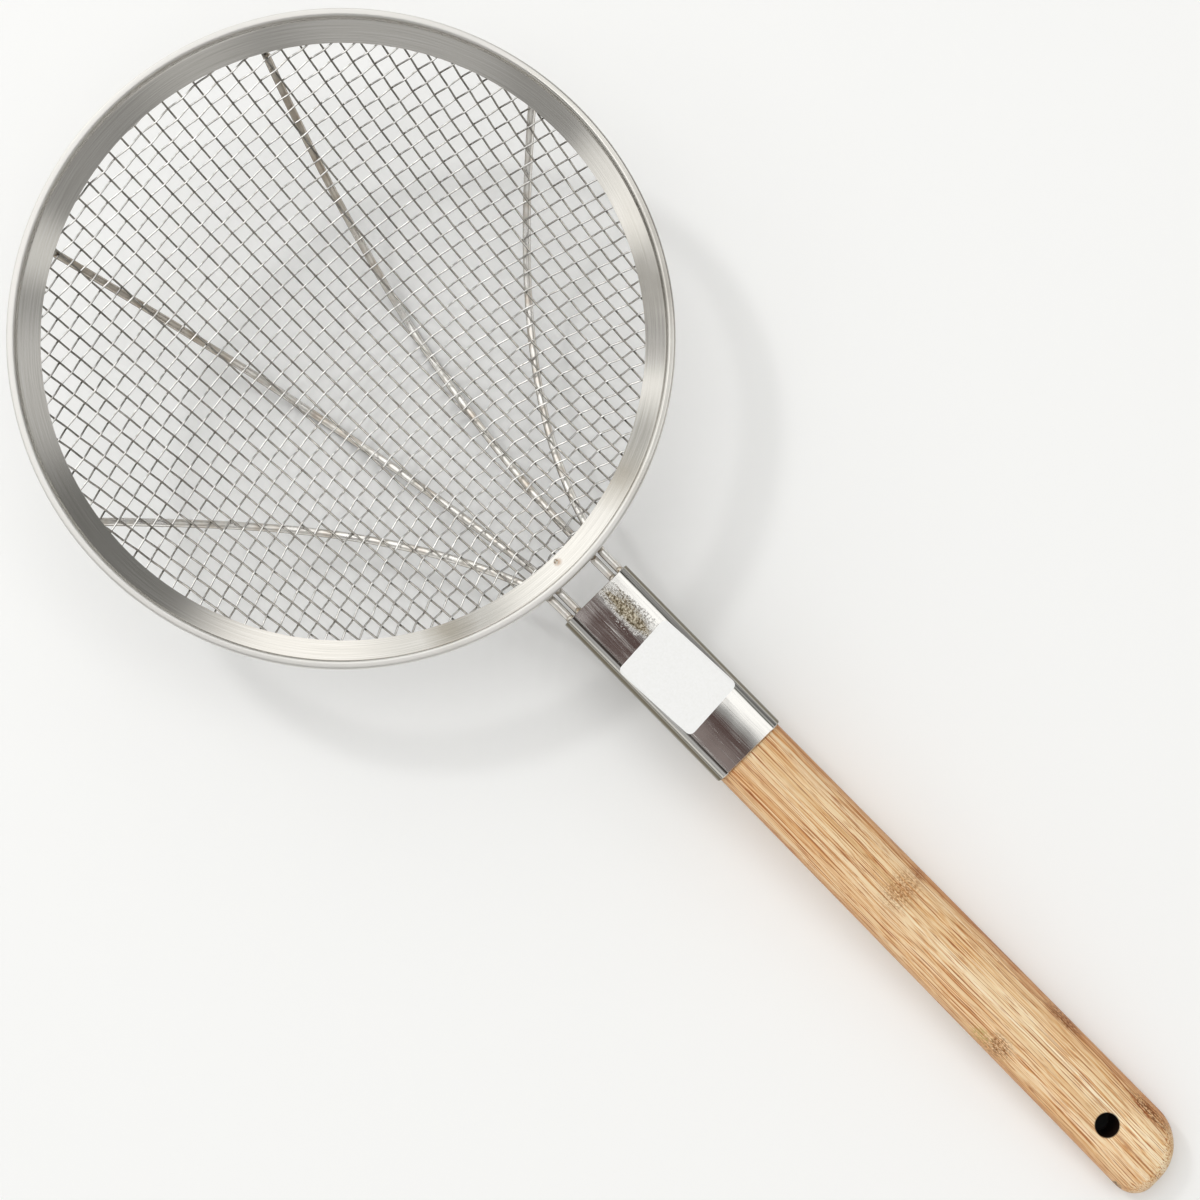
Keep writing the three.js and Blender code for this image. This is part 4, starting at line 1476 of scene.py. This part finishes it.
@dataclass
class Ferrule:
    """The ferrule: a flattened steel tube with a low crown on its faces, and the paper label on it."""

    start: float = 130.0
    length: float = 79.5
    width: float = 31.0
    height: float = 14.4
    top: float = -3.455
    wall: float = 0.8
    corner: float = 5.0
    crown: float = 0.35
    edge: float = 0.22
    stations: int = 40
    arc_points: int = 14
    flat_points: int = 24
    label_size: Plan = (35.4, 25.4)
    label_corner: float = 2.2
    label_middle: float = 172.0
    label_skew: float = 3.4
    label_lift: float = 0.07
    label_thickness: float = 0.14
    label_cells: tuple[int, int] = (56, 44)
    ripple: float = 0.05
    ripple_length: float = 9.0
    ripple_seed: float = 2.0
    finish: PolishedFerrule = field(default_factory=PolishedFerrule)
    paper: LabelPaper = field(default_factory=LabelPaper)

    @property
    def middle(self) -> float:
        """Height of the tube's middle."""
        return self.top - self.height / 2

    def crown_at(self, y: float) -> float:
        """How far a face stands above its flat level at a distance from the middle."""
        flat = self.width / 2 - self.corner
        return self.crown * max(0.0, 1.0 - (y / flat) ** 2)

    def section(self, inset: float) -> list[Plan]:
        """Draws the tube's section.

        Args:
            inset: How far inside the outer face it lies.

        Returns:
            Points as (y, z) about the tube's middle, counter-clockwise.
        """
        half_width, half_height = self.width / 2 - self.corner, self.height / 2 - self.corner
        reach = self.corner - inset
        points = []
        for quarter, (sy, sz) in enumerate(QUARTERS):
            for k in range(self.arc_points + 1):
                turn = math.pi / 2 * (quarter + k / self.arc_points)
                y, z = reach * math.cos(turn), reach * math.sin(turn)
                points.append((sy * half_width + y, sz * half_height + z))
            if quarter in (0, 2):
                level = sz * (half_height + reach)
                for k in range(1, self.flat_points):
                    y = sy * half_width * (1 - 2 * k / self.flat_points)
                    points.append((y, level + sz * self.crown_at(y)))
        return points

    def tube(self) -> Object:
        """Lofts the tube's outer and inner walls with softened ends.

        Returns:
            The tube.
        """
        rings = []
        walk = [(self.start, self.edge), (self.start + self.edge, 0.0)]
        walk += [(self.start + self.length * k / self.stations, 0.0) for k in range(1, self.stations)]
        walk += [(self.start + self.length - self.edge, 0.0), (self.start + self.length, self.edge)]
        for x, inset in walk + [(x, self.wall - inset) for x, inset in reversed(walk)]:
            rings.append([Vector((x, y, self.middle + z)) for y, z in self.section(inset)])
        return loft("ferrule_tube", rings, (True, True))

    def surface(self, x: float, y: float, lift: float) -> Vector:
        """Point above the ferrule's rounded top.

        Args:
            x: Place along the handle.
            y: Distance from the middle, measured along the surface.
            lift: Height above the surface.

        Returns:
            The point.
        """
        flat = self.width / 2 - self.corner
        turn = max(abs(y) - flat, 0.0) / self.corner
        reach = self.corner + lift
        across = min(abs(y), flat) + reach * math.sin(turn)
        height = self.top - self.corner + reach * math.cos(turn) + self.crown_at(min(abs(y), flat))
        return Vector((x, math.copysign(across, y), height))

    def label(self) -> Object:
        """Makes the blank label with round corners, following the ferrule's top.

        Returns:
            The label, a thin closed sheet.
        """
        half = [size / 2 for size in self.label_size]
        straight = [reach - self.label_corner for reach in half]
        skew = math.radians(self.label_skew)
        layers = []
        for lift in (self.label_lift + self.label_thickness, self.label_lift):
            sheet = []
            for i in range(self.label_cells[0] + 1):
                row = []
                for j in range(self.label_cells[1] + 1):
                    u = half[0] * (2 * i / self.label_cells[0] - 1)
                    v = half[1] * (2 * j / self.label_cells[1] - 1)
                    du, dv = abs(u) - straight[0], abs(v) - straight[1]
                    if du > 0 and dv > 0:
                        shrink = max(du, dv) / math.hypot(du, dv)
                        u = math.copysign(straight[0] + du * shrink, u)
                        v = math.copysign(straight[1] + dv * shrink, v)
                    wave = Vector((u / self.ripple_length, v / self.ripple_length, self.ripple_seed))
                    ripple = self.ripple * noise.noise(wave) + self.ripple
                    x = self.label_middle + u * math.cos(skew) - v * math.sin(skew)
                    row.append(self.surface(x, u * math.sin(skew) + v * math.cos(skew), lift + ripple))
                sheet.append(row)
            layers.append(sheet)
        rings = [[*upper, *reversed(lower)] for upper, lower in zip(*layers)]
        size = len(rings[0])
        last = (len(rings) - 1) * size
        caps = []
        for k in range(size // 2 - 1):
            caps.append([k, k + 1, size - 2 - k, size - 1 - k])
            caps.append([last + size - 1 - k, last + size - 2 - k, last + k + 1, last + k])
        return loft("blank_label", rings, (False, True), caps)

    def build(self) -> None:
        """Makes and dresses the tube and its label."""
        dress(lay_down(self.tube()), self.finish.material(), self.finish.slot, "ferrule")
        dress(lay_down(self.label()), self.paper.material(), self.paper.slot, "paper_label")


@dataclass
class Handle:
    """The handle: a flat bamboo slat with round edges, a hanging hole, and its tongue in the ferrule."""

    shoulder: float = 209.8
    tongue_start: float = 133.0
    notch_end: float = 155.3
    notch_floor: float = -9.1
    tip: float = 424.0
    top: float = -4.155
    thickness: float = 13.0
    neck_half_width: float = 14.4
    end_half_width: float = 15.2
    edge_radius: float = 5.5
    tip_corner_left: float = 17.0
    tip_corner_right: float = 9.0
    tongue_height: float = 12.2
    tongue_lap: float = 0.4
    tongue_corner: float = 4.0
    tongue_corner_share: float = 2.2
    tongue_corner_steps: int = 6
    hole_place: Plan = (395.5, -2.6)
    hole_radius: float = 4.35
    hole_chamfer: float = 0.45
    hole_break: float = 0.12
    edge_steps: int = 9
    corner_points: int = 28
    side_points: int = 60
    hole_points: int = 48
    finish: Bamboo = field(default_factory=Bamboo)

    def outline(self, inset: float) -> list[Plan]:
        """Draws the slat's outline in plan.

        Args:
            inset: How far inside the widest outline it lies.

        Returns:
            Points as (x, y), counter-clockwise, from the shoulder's right corner.
        """
        right, left = self.tip_corner_right, self.tip_corner_left
        neck, end = self.neck_half_width - inset, self.end_half_width - inset
        points = []
        straight = self.tip - right - self.shoulder
        for k in range(self.side_points + 1):
            share = k / self.side_points
            points.append((self.shoulder + straight * share, -(neck + (end - neck) * share)))
        for centre, radius, start in (
            ((self.tip - right, right - self.end_half_width), right - inset, -90.0),
            ((self.tip - left, self.end_half_width - left), left - inset, 0.0),
        ):
            for k in range(1, self.corner_points + 1):
                turn = math.radians(start + 90.0 * k / self.corner_points)
                points.append((centre[0] + radius * math.cos(turn), centre[1] + radius * math.sin(turn)))
        straight = self.tip - left - self.shoulder
        for k in range(1, self.side_points + 1):
            share = 1 - k / self.side_points
            points.append((self.shoulder + straight * share, neck + (end - neck) * share))
        return points

    def slat(self) -> Object:
        """Lofts the slat from ring to ring over its round edges and through its hole.

        Returns:
            The slat.
        """
        bottom = self.top - self.thickness
        profile = []
        for k in range(self.edge_steps + 1):
            turn = math.pi / 2 * k / self.edge_steps
            profile.append([self.edge_radius * (1 - side) for side in (math.sin(turn), math.cos(turn))])
        rings = [(inset, self.top - drop) for inset, drop in profile]
        rings += [(inset, bottom + drop) for inset, drop in reversed(profile)]
        points: Loop = []
        faces: list[list[int]] = []
        size = len(self.outline(0.0))
        for inset, height in rings:
            points.extend(Vector((x, y, height)) for x, y in self.outline(inset))
        for i in range(len(rings) - 1):
            for j in range(size):
                k = (j + 1) % size
                faces.append([i * size + j, (i + 1) * size + j, (i + 1) * size + k, i * size + k])
        hole = [(self.hole_chamfer, 0.0), (self.hole_break, self.hole_break), (0.0, self.hole_chamfer)]
        steps = [(grow, self.top - drop) for grow, drop in hole]
        steps += [(grow, bottom + drop) for grow, drop in reversed(hole)]
        base = len(points)
        for grow, height in steps:
            for k in range(self.hole_points):
                turn = math.tau * k / self.hole_points
                reach = self.hole_radius + grow
                x, y = reach * math.cos(turn), reach * math.sin(turn)
                points.append(Vector((self.hole_place[0] + x, self.hole_place[1] + y, height)))
        for i in range(len(steps) - 1):
            for j in range(self.hole_points):
                k = (j + 1) % self.hole_points
                row, below = base + i * self.hole_points, base + (i + 1) * self.hole_points
                faces.append([row + k, below + k, below + j, row + j])
        mesh = bpy.data.meshes.new("slat")
        mesh.from_pydata(points, [], faces)
        return self.capped(mesh, size, base, len(rings), len(steps))

    def capped(self, mesh: Mesh, size: int, base: int, rings: int, steps: int) -> Object:
        """Closes the slat's flat top and underside round the hole.

        Args:
            mesh: The slat's edges and the hole's wall.
            size: Points in a ring of the outline.
            base: First point of the hole's wall.
            rings: Number of rings over the edge.
            steps: Number of rings down the hole.

        Returns:
            The closed slat.
        """
        shape = bmesh.new()
        shape.from_mesh(mesh)
        shape.verts.ensure_lookup_table()
        for outer, inner in ((0, base), ((rings - 1) * size, base + (steps - 1) * self.hole_points)):
            edges = []
            for first, count in ((outer, size), (inner, self.hole_points)):
                for k in range(count):
                    pair = (shape.verts[first + k], shape.verts[first + (k + 1) % count])
                    edges.append(shape.edges.get(pair) or shape.edges.new(pair))
            bmesh.ops.triangle_fill(shape, use_beauty=True, edges=edges)
        bmesh.ops.recalc_face_normals(shape, faces=shape.faces)
        shape.to_mesh(mesh)
        shape.free()
        return link("bamboo_slat", mesh)

    def tongue(self) -> Object:
        """Makes the pared tongue, with the step in its top that makes room for the rods.

        Returns:
            The tongue.
        """
        low = self.top - self.thickness / 2 - self.tongue_height / 2
        high = low + self.tongue_height
        sections = (
            (self.tongue_start, self.notch_floor), (self.notch_end, self.notch_floor),
            (self.notch_end, high), (self.shoulder + self.tongue_lap, high),
        )
        rings = []
        for x, level in sections:
            radius = min(self.tongue_corner, (level - low) / self.tongue_corner_share)
            ring = []
            for corner, (sy, sz) in enumerate(QUARTERS):
                for k in range(self.tongue_corner_steps + 1):
                    turn = math.pi / 2 * (corner + k / self.tongue_corner_steps)
                    y = sy * (self.neck_half_width - radius) + radius * math.cos(turn)
                    z = (level - radius if sz > 0 else low + radius) + radius * math.sin(turn)
                    ring.append(Vector((x, y, z)))
            rings.append(ring)
        size = len(rings[0])
        caps = [list(reversed(range(size))), list(range((len(rings) - 1) * size, len(rings) * size))]
        return loft("tongue", rings, (False, True), caps)

    def build(self) -> None:
        """Makes and dresses the slat and its tongue."""
        material = self.finish.material()
        dress(lay_down(self.slat()), material, self.finish.slot, "handle")
        dress(lay_down(self.tongue()), material, self.finish.slot, "handle")


@dataclass(frozen=True)
class SkyPatch:
    """A brighter or darker patch of the studio round the table.

    Attributes:
        towards: Direction of its middle, in the row frame.
        inner: Angle from its middle within which it is full, in degrees.
        outer: Angle at which it ends, in degrees.
        change: What it adds to red, green and blue; below 0 it darkens.
    """

    towards: Point
    inner: float
    outer: float
    change: Point


@dataclass(frozen=True)
class Lamp:
    """A square soft lamp.

    Attributes:
        name: Name of the lamp.
        place: Where it hangs, in metres.
        size: Edge of its square.
        power: Its power in watts.
    """

    name: str
    place: Point
    size: float
    power: float


@dataclass(frozen=True)
class TableShade:
    """A round part of the table that is darker.

    Attributes:
        middle: Its middle on the table, in mm.
        outer: Radius in mm at which it ends.
        inner: Radius in mm within which it is full.
        colour: Its colour as sRGB hex.
    """

    middle: Plan
    outer: float
    inner: float
    colour: str


@dataclass
class Studio:
    """A white table under soft light, and the camera above it."""

    floor_radius: float = 40.0
    floor_colour: str = "#F9F9F8"
    floor_drop: float = 0.0004
    floor_sides: int = 96
    hole_shade: TableShade = TableShade((240.5, -2.6), 10.0, 6.0, "#2A2A2A")
    room: Point = (0.37, 0.37, 0.365)
    room_least: Point = (0.02, 0.02, 0.02)
    patches: tuple[SkyPatch, ...] = (
        SkyPatch((-0.75, 0.00, 0.66), 42.0, 52.0, (0.70, 0.70, 0.69)),
        SkyPatch((-0.72, 0.02, 0.69), 8.0, 18.0, (0.32, 0.32, 0.315)),
        SkyPatch((-0.25, 0.05, 0.967), 10.0, 22.0, (0.35, 0.35, 0.35)),
        SkyPatch((-0.94, 0.05, 0.33), 5.0, 13.0, (0.9, 0.88, 0.86)),
        SkyPatch((-0.77, -0.25, 0.58), 4.0, 9.0, (-0.55, -0.55, -0.55)),
        SkyPatch((-0.55, -0.555, 0.625), 4.0, 8.0, (-0.35, -0.35, -0.35)),
        SkyPatch((-0.645, -0.46, 0.61), 2.0, 4.5, (-0.7, -0.7, -0.68)),
        SkyPatch((-0.715, -0.365, 0.595), 2.0, 4.5, (0.5, 0.5, 0.5)),
        SkyPatch((-0.79, 0.30, 0.54), 1.5, 7.0, (-0.45, -0.45, -0.45)),
        SkyPatch((-0.31, -0.69, 0.65), 6.0, 11.0, (0.75, 0.75, 0.74)),
        SkyPatch((-0.11, 0.81, 0.57), 9.0, 16.0, (-0.16, -0.16, -0.16)),
        SkyPatch((-0.55, 0.65, 0.54), 6.0, 16.0, (0.38, 0.37, 0.36)),
        SkyPatch((0.61, 0.47, 0.64), 2.0, 7.0, (0.7, 0.7, 0.69)),
        SkyPatch((0.35, 0.72, 0.61), 5.0, 14.0, (0.36, 0.36, 0.36)),
        SkyPatch((0.32, 0.89, 0.33), 11.0, 17.0, (-0.25, -0.25, -0.25)),
        SkyPatch((0.38, -0.62, 0.68), 8.0, 22.0, (0.18, 0.18, 0.18)),
        SkyPatch((0.56, -0.12, 0.82), 8.0, 15.0, (0.5, 0.5, 0.49)),
        SkyPatch((0.86, -0.05, 0.50), 8.0, 16.0, (-0.12, -0.12, -0.12)),
        SkyPatch((0.10, -0.95, 0.30), 6.0, 10.0, (0.5, 0.49, 0.45)),
        SkyPatch((-0.05, -0.075, 0.996), 7.5, 9.2, (0.6, 0.6, 0.6)),
        SkyPatch((0.005, 0.195, 0.98), 3.0, 6.0, (-0.35, -0.35, -0.35)),
        SkyPatch((0.12, 0.60, 0.79), 7.0, 11.0, (-0.34, -0.34, -0.35)),
        SkyPatch((0.17, -0.045, 0.984), 6.5, 8.5, (-0.265, -0.30, -0.30)),
        SkyPatch((0.27, -0.10, 0.957), 4.0, 9.0, (0.17, 0.16, 0.155)),
        SkyPatch((0.12, -0.40, 0.91), 9.0, 14.0, (-0.32, -0.33, -0.33)),
        SkyPatch((0.15, 0.37, 0.917), 12.0, 15.5, (0.9, 0.9, 0.89)),
    )
    lamps: tuple[Lamp, ...] = (
        Lamp("window_light", (-1.5, -0.15, 1.6), 0.2, 6.0),
        Lamp("ceiling_light", (0.0, 0.0, 2.4), 2.6, 12.0),
    )
    lamp_aim: Point = (-0.1, 0.0, 0.0)
    eye: Point = (137.4, -45.7, 716.6)
    aim: Point = (132.52, -0.65, 0.0)
    upright: Point = (-0.71343, 0.69902, 0.0488)
    focal_pixels: float = 2000.0

    def build(self) -> None:
        """Sets up the table, the light and the camera."""
        bpy.context.scene.view_settings.view_transform = "Standard"
        self.table()
        self.world()
        for lamp in self.lamps:
            self.hang(lamp)
        self.camera()

    def table(self) -> None:
        """Makes the plain white table top, dark where it shows through the hanging hole."""
        bpy.ops.mesh.primitive_circle_add(
            vertices=self.floor_sides, radius=self.floor_radius, fill_type="NGON",
            location=(0.0, 0.0, -self.floor_drop),
        )
        floor = bpy.context.object
        floor.name = "table_top"
        white = bpy.data.materials.new("matt_white_table")
        white.use_nodes = True
        tree = white.node_tree
        place = add(tree, "ShaderNodeTexCoord").outputs["Object"]
        share = add(tree, "ShaderNodeMapRange", {
            "Value": plan_reach(tree, place, self.hole_shade.middle),
            "From Min": self.hole_shade.outer, "From Max": self.hole_shade.inner,
        }, interpolation_type="SMOOTHSTEP")
        feed(tree, tree.nodes["Principled BSDF"], {
            "Base Color": layered(tree, linear(self.floor_colour), ((share, self.hole_shade.colour),)),
            "Roughness": 0.9, "Specular IOR Level": 0.1,
        })
        floor.data.materials.append(white)

    def world(self) -> None:
        """Paints the room round the table: an even light with brighter and darker patches."""
        world = bpy.data.worlds.new("studio_room")
        bpy.context.scene.world = world
        world.use_nodes = True
        tree = world.node_tree
        sky = add(tree, "ShaderNodeTexCoord").outputs["Generated"]
        colour = add(tree, "ShaderNodeCombineXYZ", dict(enumerate(self.room)))
        for patch in self.patches:
            towards = Vector(patch.towards).normalized()
            facing = add(tree, "ShaderNodeVectorMath", {0: sky, 1: tuple(towards)}, operation="DOT_PRODUCT")
            share = add(tree, "ShaderNodeMapRange", {
                "Value": facing.outputs["Value"], "From Min": math.cos(math.radians(patch.outer)),
                "From Max": math.cos(math.radians(patch.inner)),
            }, interpolation_type="SMOOTHSTEP")
            part = add(tree, "ShaderNodeVectorMath", {0: patch.change, "Scale": share}, operation="SCALE")
            colour = add(tree, "ShaderNodeVectorMath", {0: colour, 1: part}, operation="ADD")
        kept = add(tree, "ShaderNodeVectorMath", {0: colour, 1: self.room_least}, operation="MAXIMUM")
        feed(tree, tree.nodes["Background"], {"Color": kept})

    def hang(self, lamp: Lamp) -> None:
        """Hangs a soft lamp, which metal mirrors only as part of the room, and turns it to the table.

        Args:
            lamp: The lamp.
        """
        light = bpy.data.lights.new(lamp.name, "AREA")
        light.shape = "SQUARE"
        light.size = lamp.size
        light.energy = lamp.power
        obj = bpy.data.objects.new(lamp.name, light)
        bpy.context.scene.collection.objects.link(obj)
        obj.visible_glossy = False
        obj.location = lamp.place
        beam = Vector(self.lamp_aim) - Vector(lamp.place)
        obj.rotation_euler = beam.to_track_quat("-Z", "Y").to_euler()

    def camera(self) -> None:
        """Puts the camera where the photograph was taken from."""
        back = (Vector(self.eye) - Vector(self.aim)).normalized()
        right = Vector(self.upright).cross(back).normalized()
        turn = Matrix((right, back.cross(right), back)).transposed().to_4x4()
        lens = bpy.data.cameras.new("view")
        lens.sensor_width = SENSOR_MM
        lens.lens = SENSOR_MM * self.focal_pixels / IMAGE_PIXELS
        obj = bpy.data.objects.new("view", lens)
        bpy.context.scene.collection.objects.link(obj)
        place = Matrix.Translation(LAY.matrix @ Vector(self.eye))
        obj.matrix_world = place @ Matrix.Rotation(LAY.tilt, 4, "Y") @ turn
        bpy.context.scene.camera = obj


def dress_hidden_wire() -> None:
    """Gives the wire inside the rolled bead, which stays as packed, its own finish."""
    wire = frame["nodes"]["rim_core_wire"]
    wire.data.materials.clear()
    wire.data.materials.append(HiddenWire().material())


def main() -> None:
    """Builds the strainer and its studio."""
    logging.basicConfig(level=logging.INFO, format="%(name)s: %(message)s")
    for part in (WovenNet(), FoldedRim(), SupportRods(), Ferrule(), Handle(), Studio()):
        part.build()
    dress_hidden_wire()


if __name__ == "__main__":
    main()
